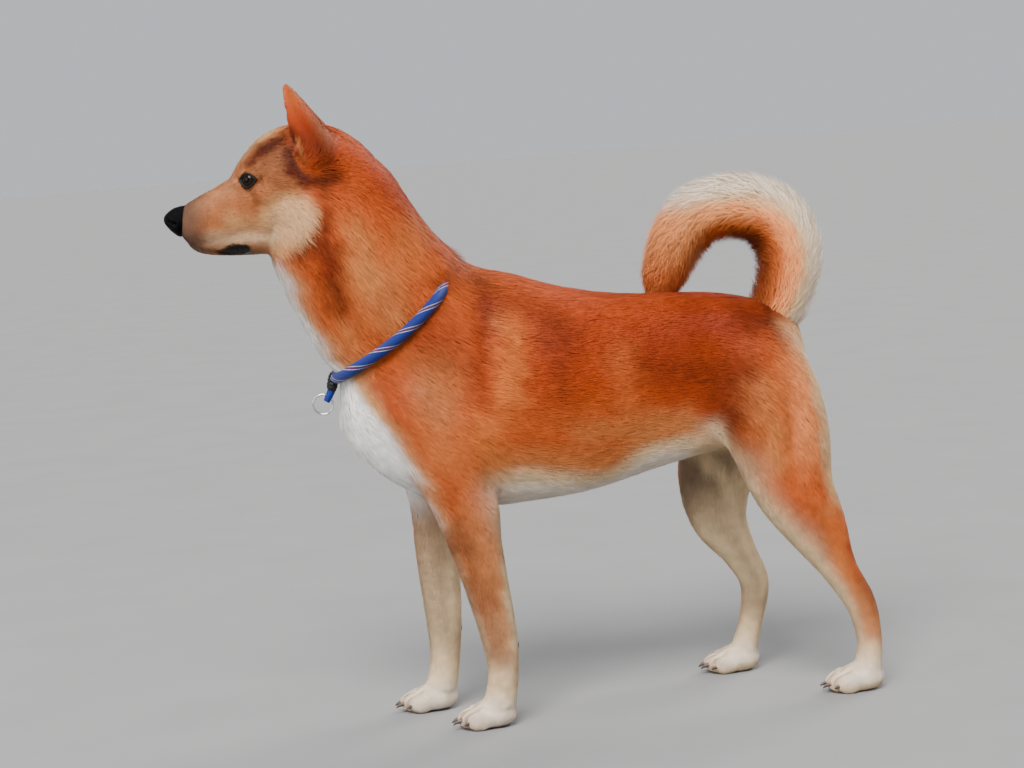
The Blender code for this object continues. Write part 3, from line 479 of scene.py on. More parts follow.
def combed(points):
    """Lie, depth, length and width of the coat at points, and each point's stretch and sample.

    Every sample of every path pulls with a weight of (its reach over its distance) to the sixth.
    """
    lie, hair = np.zeros_like(points), np.zeros_like(points)
    pull = np.zeros((len(points), len(NAMES)))
    nearest = np.zeros(len(points), int)
    number = SAMPLES[:, 0].astype(int)
    for start in range(0, len(points), 20000):
        some = slice(start, start + 20000)
        apart = points[some, None] - SAMPLES[None, :, 2:5]
        weight = (SAMPLES[:, 5] / np.maximum(np.linalg.norm(apart, axis=2), 1e-4)) ** 6
        total = weight.sum(1, keepdims=True)
        lie[some] = weight @ SAMPLES[:, 12:15] / total
        hair[some] = weight @ SAMPLES[:, 15:18] / total / 1000
        for k in range(len(NAMES)):
            pull[some, k] = (weight[:, number == k].sum(1, keepdims=True) / total)[:, 0]
        nearest[some] = np.argmax(weight, axis=1)
    return lie, hair, pull, nearest


def limits(points):
    """How far the skin may be relaxed: fully on the trunk, little on face, feet, ears and tail."""
    soft = ramp(points[:, 2], 0.19, 0.33)
    face = np.where(points[:, 2] > 0.56, np.clip((points[:, 0] + 0.227) / 0.05, 0, 1), 1)
    ears = np.min([path_distance(points, EARS[side]) for side in SIDES], axis=0)
    tail = path_distance(points, TAIL_PATH[1:])
    return np.min([soft, face, ramp(ears, 0.030, 0.050), ramp(tail, 0.024, 0.050)], axis=0)


# Swells and hollows of bone and muscle that the ovals leave out: a name, where the middle lies,
# the half-lengths of the patch, and how far it stands proud (plus) or sunk (minus). Each is put
# on both sides.
FORMS = [
    ("shoulder blade", (-0.082, 0.088, 0.478), (0.022, 0.03, 0.050), 0.0040),
    ("behind the blade", (-0.052, 0.090, 0.462), (0.010, 0.03, 0.052), -0.0038),
    ("fold behind the blade", (-0.034, 0.092, 0.445), (0.010, 0.03, 0.050), 0.0030),
    ("point of shoulder", (-0.150, 0.074, 0.390), (0.030, 0.03, 0.034), 0.0050),
    ("hollow before shoulder", (-0.158, 0.078, 0.452), (0.022, 0.03, 0.040), -0.0040),
    ("behind the shoulder", (-0.004, 0.094, 0.420), (0.020, 0.03, 0.080), -0.0050),
    ("triceps", (-0.072, 0.092, 0.350), (0.026, 0.03, 0.045), 0.0060),
    ("elbow", (-0.055, 0.085, 0.262), (0.018, 0.03, 0.018), 0.0045),
    ("elbow hollow", (-0.060, 0.090, 0.296), (0.008, 0.03, 0.016), -0.0030),
    ("ribs", (0.085, 0.092, 0.385), (0.060, 0.03, 0.060), 0.0040),
    ("flank hollow", (0.216, 0.080, 0.385), (0.024, 0.03, 0.062), -0.0085),
    ("hip", (0.256, 0.060, 0.470), (0.028, 0.03, 0.024), 0.0040),
    ("thigh front", (0.272, 0.098, 0.345), (0.022, 0.03, 0.060), 0.0055),
    ("thigh back", (0.332, 0.095, 0.345), (0.018, 0.03, 0.060), 0.0045),
    ("thigh furrow", (0.306, 0.100, 0.330), (0.010, 0.03, 0.052), -0.0040),
    ("gaskin", (0.330, 0.095, 0.225), (0.018, 0.03, 0.040), 0.0030),
]
# The same for the head, in the head's frame.
HEAD_FORMS = [
    ("ear root", (0.060, 0.050, 0.676), (0.013, 0.030, 0.022), 0.0045),
    ("ear opening", (0.086, 0.046, 0.694), (0.0055, 0.030, 0.024), -0.0060),
    ("cheek", (0.086, 0.045, 0.616), (0.020, 0.030, 0.024), 0.0040),
    ("behind the cheek", (0.060, 0.045, 0.612), (0.006, 0.030, 0.026), -0.0050),
    ("below the eye", (0.132, 0.034, 0.646), (0.014, 0.020, 0.009), -0.0018),
    ("brow", (0.146, 0.026, 0.690), (0.012, 0.014, 0.007), 0.0014),
    ("flews", (0.192, 0.022, 0.606), (0.018, 0.020, 0.010), 0.0012),
]
CLEFT_DEPTH, CLEFT_HALF = 0.0036, 0.0021       # the clefts between the toes
TOE_GAP = 0.0114                               # from the foot's middle line to its outer clefts


def toe_cleft(points):
    """1 in the clefts between the toes, a bell of 2 mm to either side, fading out up the foot."""
    cleft = np.zeros(len(points))
    for joints in (*FORE_JOINTS.values(), *HIND_JOINTS.values()):
        centre = foot_centre(joints)
        ahead, sideways = centre[0] - points[:, 0], np.abs(points[:, 1] - centre[1])
        near = np.minimum(sideways, np.abs(sideways - TOE_GAP))
        here = ramp(ahead, 0.008, 0.020) * (1 - ramp(points[:, 2], 0.024, 0.034))
        here = here * (np.hypot(ahead, sideways) < 0.06)
        cleft = np.maximum(cleft, np.exp(-(near / CLEFT_HALF) ** 2) * here)
    return cleft


def formed(points, normals):
    """The skin with its swells and hollows, each a bell curve pushed along the normals."""
    push = np.zeros(len(points))
    for places, table in ((points, FORMS), (in_head(points), HEAD_FORMS)):
        for _, centre, reach, height in table:
            for sign in SIDES.values():
                apart = (places - np.array(centre) * [1, sign, 1]) / reach
                push += height * np.exp(-(apart**2).sum(1))
    push -= CLEFT_DEPTH * toe_cleft(points)
    return points + push[:, None] * normals


merged = outward(new_mesh("merged", *joined(body_shapes())))
merge = merged.modifiers.new("merge", "REMESH")
merge.mode = "VOXEL"
merge.voxel_size = SKIN_CELL
baked(merged)
skin_points, skin_quads = mesh_points(merged.data), mesh_corners(merged.data, 4)
bpy.data.objects.remove(merged, do_unlink=True)
skin_points = relaxed(skin_points, skin_quads, np.full(len(skin_points), 0.5), 5)
skin_points = relaxed(skin_points, skin_quads, 0.5 * limits(skin_points), 130)
skin_normals = point_normals(skin_points, skin_quads)
skin_points = formed(skin_points, skin_normals)
skin_normals = point_normals(skin_points, skin_quads)
_, skin_hair, skin_pull, _ = combed(skin_points)
thin_there = skin_pull[:, [NAMES.index(n) for n in ("tail", "ear_left", "ear_right")]].sum(1)
skin_points -= (SKIN_SET_IN * skin_hair[:, 0] * (1 - ramp(thin_there, 0.15, 0.6)))[:, None] * skin_normals
skin_points = relaxed(skin_points, skin_quads, np.full(len(skin_points), 0.5), 2)
skin_points[:, 2] = np.maximum(skin_points[:, 2], SOLE_HEIGHT)


# ---- Eye sockets ------------------------------------------------------------------------
# The skin round each eye is drawn over the ball as an almond-shaped opening with a soft lid on
# either side of it. Inside the almond the skin is sunk behind the ball.

EYE_MIDDLE = {side: np.mean(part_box(f"eye_{side}"), axis=0) for side in SIDES}
EYE_RADIUS = 0.0122
EYE_SUNK = 0.0026                  # how much deeper the ball is set than its plain solid
LID_RADIUS, LID_BACK = 0.0162, 0.0036          # ball that the lids lie on, and how far it is set back
ALMOND = (0.0104, 0.0086, 0.0068)  # half-length, half-height up, half-height down
ALMOND_AHEAD = 0.0032              # the opening's middle lies this far before the ball's
ALMOND_TILT = math.radians(8)      # the outer corner is the higher one


def eye_frame(side):
    """Centre of the ball, way out of the socket, way to the inner corner, way up across the lids."""
    sign = SIDES[side]
    out = unit(0.50 * HEAD_AHEAD + 0.86 * sign * HEAD_RIGHT + 0.10 * HEAD_UP)
    inner = unit(HEAD_AHEAD - (HEAD_AHEAD @ out) * out)
    up = sign * np.cross(inner, out)
    turned = inner * math.cos(ALMOND_TILT) - up * math.sin(ALMOND_TILT)
    middle = EYE_MIDDLE[side] - EYE_SUNK * out + ALMOND_AHEAD * inner
    return middle, out, turned, sign * np.cross(turned, out)


def almond_share(along, up):
    """1 on the almond's edge, less inside: an oval pinched towards its corners."""
    tall = np.where(up > 0, ALMOND[1], ALMOND[2])
    pinch = np.sqrt(np.clip(1 - (along / (1.22 * ALMOND[0])) ** 2, 0.30, 1))
    return np.sqrt((along / ALMOND[0]) ** 2 + (up / (tall * pinch)) ** 2)


def eye_gap(points):
    """Distance from points to the nearest rim of an eye's opening, less than nothing inside it."""
    gap = np.full(len(points), 1.0)
    for side in SIDES:
        middle, _, inner, up = eye_frame(side)
        apart = points - middle
        share = almond_share(apart @ inner, apart @ up)
        far = np.linalg.norm(apart, axis=1) > 0.03
        gap = np.minimum(gap, np.where(far, 1.0, (share - 1.10) * ALMOND[1]))
    return gap


def lid_height(along, up):
    """How far out the lids lie: a ball a little larger than the eye, set back."""
    return np.sqrt(np.clip(LID_RADIUS**2 - along**2 - up**2, 0, None)) - LID_BACK


def socketed(points):
    """The skin with both sockets drawn in."""
    points = points.copy()
    for side in SIDES:
        middle, out, inner, up = eye_frame(side)
        apart = points - middle
        near = np.flatnonzero((np.linalg.norm(apart, axis=1) < 0.026) & (apart @ out > -0.006))
        along, over, depth = (apart[near] @ axis for axis in (inner, up, out))
        share = almond_share(along, over)
        lid = lid_height(along, over)
        fold = -0.0007 * np.exp(-((share - 1.55) / 0.16) ** 2) * (over > 0)
        blend = 1 - ramp(share, 1.15, 2.3)
        drawn = depth + blend * (np.maximum(lid, depth * 0.35 + lid * 0.65) - depth) + fold
        sunk = np.minimum(drawn, 0.0010)
        drawn = drawn + (1 - ramp(share, 0.80, 0.98)) * (sunk - drawn)
        points[near] += (drawn - depth)[:, None] * out
    return points


skin_points = socketed(skin_points)
skin_normals = point_normals(skin_points, skin_quads)


# ---- Lips -------------------------------------------------------------------------------
# The bare black edge of the upper lip: a thin line back from below the nose that widens into a
# wedge at the corner of the mouth, where the two lips part.

# Distance ahead, height, and half-height of the black edge, in the head's frame.
LIP_LINE = [(0.2320, 0.6095, 0.0004), (0.2260, 0.6010, 0.0005), (0.2150, 0.5945, 0.0005),
            (0.2030, 0.5905, 0.0006), (0.1960, 0.5885, 0.0010), (0.1900, 0.5885, 0.0026),
            (0.1820, 0.5890, 0.0050), (0.1720, 0.5892, 0.0062), (0.1630, 0.5892, 0.0062),
            (0.1580, 0.5890, 0.0044), (0.1560, 0.5888, 0.0012)]


def lip_gap(local):
    """Distance from places in the head's frame to the edge of the black lip, seen from the side."""
    gap = np.full(len(local), 1.0)
    for (x0, z0, r0), (x1, z1, r1) in zip(LIP_LINE[:-1], LIP_LINE[1:]):
        near, share = segment_distance(local * [1, 0, 1], (x0, 0, z0), (x1, 0, z1))
        gap = np.minimum(gap, near - r0 - (r1 - r0) * share)
    return gap + 0.01 * (np.abs(local[:, 1]) < 0.006)


# ---- Coat pattern and painted light -----------------------------------------------------
# The pattern of the coat, shared by the skin and every lock: orange red above, brick shades on the
# flank and behind the ear, tan on shoulder and legs, cream and white below, on throat, feet and tail.
# Painted light is mixed in: upward faces a little more orange, painted shade in the hollows of the
# muscles, under the head, on the inner and lower legs, between the toes and in the ears, and painted
# highlights where the muscles stand proud.

def tint(red, green, blue):
    """A screen colour, 0 to 255 each, as linear light."""
    share = np.array([red, green, blue]) / 255
    return np.where(share < 0.04045, share / 12.92, ((share + 0.055) / 1.055) ** 2.4)


RED, ORANGE, BRICK = tint(170, 62, 20), tint(194, 96, 40), tint(128, 40, 12)
UMBER, TAN, FAWN = tint(84, 30, 10), tint(194, 124, 68), tint(204, 154, 104)
ROSE, CREAM, WHITE = tint(172, 118, 82), tint(222, 196, 156), tint(238, 235, 230)
SAND, PEACH, GREY = tint(186, 160, 126), tint(238, 158, 98), tint(84, 66, 56)
SOOT, PINK, FACE = tint(26, 16, 13), tint(140, 84, 62), tint(166, 102, 60)
# The last of these is a painted highlight for the lit swells of the body.
NUT, DUN, HIGHLIGHT_AMBER = tint(122, 70, 40), tint(150, 130, 104), tint(214, 118, 56)
# Upper edge of the belly's white, as places along the body and heights, and hind edge of the
# white of throat, breast and foreleg, as heights and places along the body.
BELLY_EDGE = [(-0.042, 0.307), (0.006, 0.306), (0.068, 0.296), (0.094, 0.300), (0.117, 0.311),
              (0.150, 0.327), (0.181, 0.327), (0.206, 0.316), (0.235, 0.296)]
BREAST_EDGE = [(0.224, -0.108), (0.266, -0.118), (0.301, -0.132), (0.341, -0.146), (0.379, -0.172),
               (0.424, -0.198), (0.445, -0.210), (0.488, -0.234), (0.525, -0.252), (0.570, -0.264),
               (0.610, -0.274)]
# Patches of the body as seen from its side: colour, share, start and end, reach and softness.
# Besides the coat's own darker and paler tones, some rows are painted light, each marked below:
# painted shade in the hollows of the muscles and on the neck under the head, and painted
# highlights where the muscles stand proud.
BODY_PATCHES = [
    (BRICK, 0.50, (0.050, 0.445), (0.185, 0.435), 0.034, 0.045),
    (BRICK, 0.50, (0.150, 0.450), (0.250, 0.450), 0.020, 0.028),
    (BRICK, 0.80, (0.205, 0.472), (0.290, 0.452), 0.022, 0.026),
    (UMBER, 0.50, (0.262, 0.458), (0.304, 0.440), 0.014, 0.018),
    (BRICK, 0.50, (-0.150, 0.650), (-0.075, 0.570), 0.012, 0.030),
    (UMBER, 0.85, (-0.098, 0.526), (-0.056, 0.556), 0.006, 0.009),
    (UMBER, 0.75, (-0.046, 0.522), (-0.036, 0.480), 0.014, 0.016),
    (BRICK, 0.70, (-0.118, 0.480), (-0.102, 0.440), 0.026, 0.028),
    (BRICK, 0.35, (-0.150, 0.405), (-0.120, 0.420), 0.020, 0.024),
    (UMBER, 0.50, (-0.010, 0.505), (0.050, 0.462), 0.012, 0.022),
    (UMBER, 0.42, (0.030, 0.455), (0.034, 0.362), 0.016, 0.024),
    (UMBER, 0.50, (0.145, 0.412), (0.225, 0.392), 0.018, 0.028),
    # Painted shade in the hollow before the thigh.
    (UMBER, 0.68, (0.254, 0.398), (0.246, 0.352), 0.024, 0.028),
    (UMBER, 0.68, (0.240, 0.350), (0.252, 0.295), 0.010, 0.018),
    # Painted shade in the hollow behind the shoulder blade.
    (BRICK, 0.85, (-0.041, 0.500), (-0.056, 0.437), 0.008, 0.016),
    (BRICK, 0.65, (-0.056, 0.437), (-0.064, 0.400), 0.006, 0.014),
    # Painted highlight on the fold behind the shoulder.
    (HIGHLIGHT_AMBER, 0.85, (-0.018, 0.470), (-0.024, 0.400), 0.013, 0.018),
    (HIGHLIGHT_AMBER, 0.60, (-0.026, 0.400), (-0.036, 0.370), 0.010, 0.018),
    (TAN, 0.45, (-0.110, 0.420), (-0.112, 0.345), 0.030, 0.034),
    (ROSE, 0.30, (-0.105, 0.382), (-0.130, 0.409), 0.014, 0.020),
    (FAWN, 0.60, (-0.192, 0.424), (-0.172, 0.365), 0.010, 0.018),
    # Painted highlight on the elbow.
    (HIGHLIGHT_AMBER, 0.90, (-0.056, 0.365), (-0.050, 0.300), 0.015, 0.016),
    (ORANGE, 0.55, (-0.030, 0.355), (0.110, 0.350), 0.024, 0.032),
    (TAN, 0.55, (0.060, 0.342), (0.180, 0.348), 0.014, 0.022),
    # Painted highlight over the ribs.
    (HIGHLIGHT_AMBER, 0.35, (0.105, 0.430), (0.115, 0.370), 0.014, 0.024),
    (CREAM, 0.90, (0.200, 0.312), (0.220, 0.292), 0.012, 0.012),
    # Tan on the thigh's front, partly painted highlight on its swell.
    (TAN, 0.50, (0.276, 0.370), (0.282, 0.300), 0.016, 0.022),
    (TAN, 0.45, (0.284, 0.325), (0.280, 0.285), 0.010, 0.014),
    # Painted shadow in the thigh's furrow.
    (BRICK, 0.30, (0.306, 0.356), (0.308, 0.305), 0.004, 0.014),
    (PEACH, 0.52, (0.318, 0.400), (0.328, 0.290), 0.015, 0.026),
    (FAWN, 0.85, (0.322, 0.440), (0.350, 0.370), 0.012, 0.018),
    (CREAM, 0.90, (0.350, 0.370), (0.358, 0.290), 0.014, 0.013),
    (FAWN, 0.88, (0.358, 0.290), (0.354, 0.235), 0.012, 0.013),
    (BRICK, 0.50, (-0.060, 0.302), (-0.064, 0.276), 0.003, 0.009),
    (UMBER, 0.85, (0.310, 0.480), (0.298, 0.455), 0.010, 0.014),
    (TAN, 0.70, (-0.187, 0.600), (-0.180, 0.556), 0.013, 0.018),
    (TAN, 0.70, (-0.180, 0.545), (-0.152, 0.496), 0.017, 0.020),
    (TAN, 0.60, (-0.205, 0.490), (-0.190, 0.450), 0.010, 0.018),
    (TAN, 0.45, (-0.150, 0.540), (-0.120, 0.590), 0.014, 0.026),
    # Painted shade on the neck under the head, in this row and the next.
    (UMBER, 0.88, (-0.222, 0.585), (-0.209, 0.512), 0.011, 0.014),
    (BRICK, 0.60, (-0.236, 0.590), (-0.226, 0.560), 0.012, 0.014),
    (BRICK, 0.50, (-0.150, 0.535), (-0.168, 0.505), 0.005, 0.014),
]
# The same for the legs, over their own colours and on their outer sides alone.
LEG_PATCHES = [
    (BRICK, 0.50, (-0.104, 0.300), (-0.098, 0.220), 0.008, 0.014),
    (NUT, 0.78, (-0.094, 0.245), (-0.076, 0.155), 0.013, 0.017),
    (NUT, 0.42, (-0.072, 0.140), (-0.064, 0.090), 0.010, 0.016),
    (FAWN, 0.50, (-0.054, 0.260), (-0.048, 0.100), 0.006, 0.010),
    (CREAM, 0.92, (-0.046, 0.262), (-0.038, 0.100), 0.006, 0.008),
    (BRICK, 0.55, (0.306, 0.236), (0.338, 0.178), 0.010, 0.014),
    (ORANGE, 0.80, (0.350, 0.215), (0.385, 0.145), 0.014, 0.016),
    (BRICK, 0.65, (0.374, 0.172), (0.394, 0.118), 0.008, 0.010),
    (NUT, 0.60, (0.388, 0.128), (0.392, 0.095), 0.007, 0.010),
    (FAWN, 0.50, (0.352, 0.122), (0.362, 0.100), 0.006, 0.010),
]
# White down the front edge of thigh and gaskin, as places along the body and heights.
THIGH_LINE = [(0.222, 0.292), (0.245, 0.260), (0.299, 0.184), (0.352, 0.112)]


def mixed(base, colour, share):
    """Colours moved towards another colour by a share at each point."""
    return base + np.clip(share, 0, 1)[:, None] * (colour - base)


def beside(points, a, b, reach, soft):
    """1 near the line between two places of the side view, on both sides, fading out over soft."""
    ends = [np.array([p[0], 0, p[1]]) for p in (a, b)]
    return 1 - ramp(segment_distance(points * [1, 0, 1], *ends)[0], reach - soft, reach + soft)


def markings_and_painted_light(points, normals, pull):
    """Colour of the coat at points of the skin."""
    share = dict(zip(NAMES, pull.T))
    x, y, z = points.T
    ragged = points + 0.006 * np.stack([lumps(points, 0.030, k) for k in (1, 2, 3)], 1)
    fine = points + 0.0016 * np.stack([lumps(points, 0.008, k) for k in (4, 5, 6)], 1)
    out = normals * np.where(y > 0, 1, -1)[:, None]
    colour = np.tile(RED, (len(points), 1))
    limb = sum(share[f"{kind}_{side}"] for kind in ("fore", "hind") for side in SIDES)
    # Upward faces a little more orange as painted light from above; neck and legs in their own orange.
    colour = mixed(colour, ORANGE, 0.15 * ramp(normals[:, 2], 0.35, 0.95) + 0.55 * share["neck"] + 0.5 * limb)
    for paint, amount, a, b, reach, soft in BODY_PATCHES:
        colour = mixed(colour, paint, amount * beside(ragged, a, b, reach, soft))
    # The underside: tan above, then cream, then white along the belly.
    belly = np.interp(x, *zip(*BELLY_EDGE)) + 0.004 * lumps(points, 0.05, 7)
    trunk = share["trunk"] * ramp(x, -0.10, -0.04) * (1 - ramp(x, 0.23, 0.27))
    colour = mixed(colour, TAN, 0.70 * trunk * (1 - ramp(z, belly + 0.004, belly + 0.040)))
    colour = mixed(colour, CREAM, 0.95 * trunk * (1 - ramp(z, belly - 0.012, belly + 0.010)))
    colour = mixed(colour, WHITE, 0.60 * trunk * (1 - ramp(z, belly - 0.026, belly - 0.006)))
    # Legs pale towards the feet, on their inner sides and down their front edges.
    for kind, top, low in (("fore", 0.27, 0.085), ("hind", 0.18, 0.07)):
        for side, sign in SIDES.items():
            leg = share[f"{kind}_{side}"]
            inner = ramp(-sign * normals[:, 1], -0.05, 0.45) * (1 - ramp(z, 0.30, 0.42))
            front = ramp(-normals[:, 0], 0.45, 0.90) * (1 - ramp(z, 0.24, 0.32))
            back = ramp(normals[:, 0], 0.60, 0.95) * (1 - ramp(z, 0.20, 0.26)) * (kind == "fore")
            ground = z + 0.008 * lumps(points, 0.03, 8)
            colour = mixed(colour, TAN, 0.62 * leg * (1 - ramp(z, top - 0.05, top + 0.10)))
            colour = mixed(colour, ROSE, 0.55 * leg * (1 - ramp(z, low, top)))
            # Painted shade: the lower forelegs greyer.
            colour = mixed(colour, DUN, 0.45 * leg * (1 - ramp(z, 0.085, 0.200)) * (kind == "fore"))
            colour = mixed(colour, SAND, 0.90 * leg * np.max([inner, 0.75 * front, 0.8 * back], axis=0))
            # Painted shade: the inner sides greyer above the feet.
            colour = mixed(colour, DUN, 0.55 * leg * inner * ramp(z, 0.03, 0.10))
            # Painted shade on the inner sides of the hind legs.
            shaded = inner * ramp(z, 0.13, 0.26) * (1 - ramp(normals[:, 0], 0.3, 0.8)) * (kind == "hind")
            colour = mixed(colour, GREY, 0.46 * leg * shaded)
            rear = inner * ramp(normals[:, 0], -0.10, 0.45) * ramp(z, 0.08, 0.12)
            colour = mixed(colour, CREAM, 0.95 * leg * rear)
            colour = mixed(colour, CREAM, 0.92 * leg * (1 - ramp(ground, 0.035, low + 0.02)))
            colour = mixed(colour, WHITE, 0.45 * leg * (1 - ramp(z, 0.015, 0.055)))
            # Painted shade in the clefts between the toes.
            colour = mixed(colour, NUT, 0.70 * leg * toe_cleft(points))
            sole = ramp(-normals[:, 2], 0.6, 0.9) * (1 - ramp(z, 0.006, 0.010))
            colour = mixed(colour, SOOT, 0.9 * leg * sole)
    # The thigh's front edge, the patches of the legs, and cream behind and between the thighs.
    outside = ramp(out[:, 1], -0.1, 0.4)
    hind = share["hind_left"] + share["hind_right"]
    for a, b in zip(THIGH_LINE, THIGH_LINE[1:]):
        colour = mixed(colour, CREAM, 0.90 * hind * beside(ragged, a, b, 0.008, 0.009))
    for paint, amount, a, b, reach, soft in LEG_PATCHES:
        colour = mixed(colour, paint, amount * beside(ragged, a, b, reach, soft) * outside)
    low = 1 - ramp(z, 0.42, 0.45)
    rim = ramp(normals[:, 0], 0.45, 0.9) * ramp(x, 0.30, 0.33) * ramp(z, 0.20, 0.26) * low
    colour = mixed(colour, FAWN, 0.90 * rim)
    colour = mixed(colour, CREAM, 0.7 * rim * ramp(normals[:, 0], 0.65, 0.9))
    under = ramp(-normals[:, 2], 0.0, 0.5) * ramp(x, 0.18, 0.23) * low
    under = under * (1 - ramp(out[:, 1], 0.45, 0.80) * ramp(z, 0.335, 0.360))
    colour = mixed(colour, CREAM, 0.9 * under * (share["trunk"] + hind))
    # White throat and breast, running down between and along the front of the forelegs.
    front = share["neck"] + share["trunk"] + share["jaw"] + share["fore_left"] + share["fore_right"]
    front = front * ramp(z, 0.225, 0.285) * (1 - ramp(z, 0.550, 0.590))
    edge = np.interp(z, *zip(*BREAST_EDGE)) + 0.003 * lumps(points, 0.035, 9)
    colour = mixed(colour, FAWN, 0.65 * front * (1 - ramp(x, edge - 0.002, edge + 0.020)))
    colour = mixed(colour, WHITE, front * (1 - ramp(x, edge - 0.012, edge + 0.006)))
    return headed(taily(colour, points, ragged, normals, share), points, fine, normals, share)


def taily(colour, points, ragged, normals, share):
    """The tail's colours: red inside the curl, cream and white outside it, orange at the end."""
    tail = ramp(share["tail"], 0.3, 0.7)
    x, _, z = points.T
    away = unit((points - [0.262, 0.0, 0.520]) * [1, 0, 1])
    outer = (normals * away).sum(1) + 0.10 * lumps(points, 0.02, 10)
    colour = mixed(colour, ORANGE, tail)
    colour = mixed(colour, PEACH, 0.95 * tail * ramp(outer, -0.60, 0.05))
    # Cream and white on the curl's outer side, towards its hind end and over its top; over the top it is
    # partly painted highlight.
    high = ramp(z, 0.575, 0.615)
    pale, palest = (np.maximum(ramp(x, *span), high) for span in ((0.24, 0.32), (0.31, 0.36)))
    colour = mixed(colour, CREAM, 0.95 * tail * ramp(outer, 0.0, 0.55) * pale)
    colour = mixed(colour, WHITE, 0.42 * tail * ramp(outer, 0.35, 0.78) * palest)
    colour = mixed(colour, UMBER, 0.90 * tail * (1 - ramp(outer, -0.95, -0.30)) * ramp(x, 0.23, 0.31))
    low = (1 - ramp(ragged[:, 0], 0.195, 0.240)) * (1 - ramp(ragged[:, 2], 0.50, 0.590))
    colour = mixed(colour, ORANGE, 0.65 * tail * low)
    colour = mixed(colour, FAWN, 0.80 * tail * (1 - ramp(x, 0.215, 0.250)) * (1 - ramp(outer, -0.70, -0.20)))
    return mixed(colour, RED, 0.5 * tail * low * (1 - ramp(ragged[:, 2], 0.490, 0.530)))


# Patches of the head as seen from its side, ahead of the neck's turning point and height: colour,
# share, start and end, reach, softness, and whether they leave out the middle line.
FACE_PATCHES = [
    (ORANGE, 0.55, (0.030, 0.735), (0.085, 0.738), 0.026, 0.020, False),
    (ROSE, 0.60, (0.215, 0.640), (0.165, 0.668), 0.010, 0.014, False),
    (FAWN, 0.70, (0.172, 0.622), (0.146, 0.612), 0.008, 0.016, True),
    (FAWN, 0.75, (0.200, 0.662), (0.160, 0.692), 0.003, 0.006, False),
    (FAWN, 0.95, (0.160, 0.695), (0.100, 0.736), 0.006, 0.006, False),
    (NUT, 0.80, (0.134, 0.692), (0.104, 0.692), 0.014, 0.014, True),
    (NUT, 0.60, (0.128, 0.672), (0.090, 0.660), 0.012, 0.014, True),
    (UMBER, 0.94, (0.146, 0.686), (0.130, 0.701), 0.0040, 0.0045, True),
    (UMBER, 0.96, (0.130, 0.701), (0.094, 0.715), 0.0072, 0.0060, True),
    (SOOT, 0.35, (0.128, 0.702), (0.100, 0.713), 0.0050, 0.0050, True),
    (NUT, 0.55, (0.162, 0.660), (0.144, 0.655), 0.0030, 0.0050, True),
    (UMBER, 0.50, (0.141, 0.653), (0.140, 0.642), 0.0028, 0.0050, True),
    (BRICK, 0.45, (0.140, 0.642), (0.143, 0.632), 0.0028, 0.0050, True),
    (NUT, 0.55, (0.110, 0.646), (0.078, 0.642), 0.0040, 0.0080, True),
    (NUT, 0.60, (0.212, 0.612), (0.194, 0.604), 0.0050, 0.0070, True),
]
# Painted shade in the opening at the foot of the ear and round its root, with a lock of pale
# hair across it.
EAR_PATCHES = [
    (UMBER, 0.92, (0.092, 0.722), (0.094, 0.696), 0.0045, 0.0045),
    (UMBER, 0.92, (0.098, 0.698), (0.095, 0.676), 0.0062, 0.0060),
    (UMBER, 0.94, (0.095, 0.678), (0.078, 0.664), 0.0080, 0.0070),
    (UMBER, 0.94, (0.078, 0.664), (0.052, 0.662), 0.0085, 0.0080),
    (UMBER, 0.94, (0.060, 0.692), (0.050, 0.668), 0.0100, 0.0100),
    (UMBER, 0.90, (0.062, 0.664), (0.062, 0.646), 0.0060, 0.0070),
    (UMBER, 0.85, (0.050, 0.678), (0.044, 0.666), 0.0070, 0.0080),
    (SOOT, 0.50, (0.062, 0.674), (0.056, 0.660), 0.0070, 0.0080),
    (SOOT, 0.70, (0.090, 0.716), (0.091, 0.680), 0.0024, 0.0040),
    (TAN, 0.80, (0.0850, 0.712), (0.0775, 0.684), 0.0018, 0.0030),
]
# Hind edge of the cheek: heights, and places ahead of the neck's turning point.
CHEEK_EDGE = [(0.572, 0.110), (0.582, 0.097), (0.591, 0.082), (0.605, 0.071), (0.623, 0.067),
              (0.640, 0.063), (0.665, 0.058), (0.700, 0.050)]


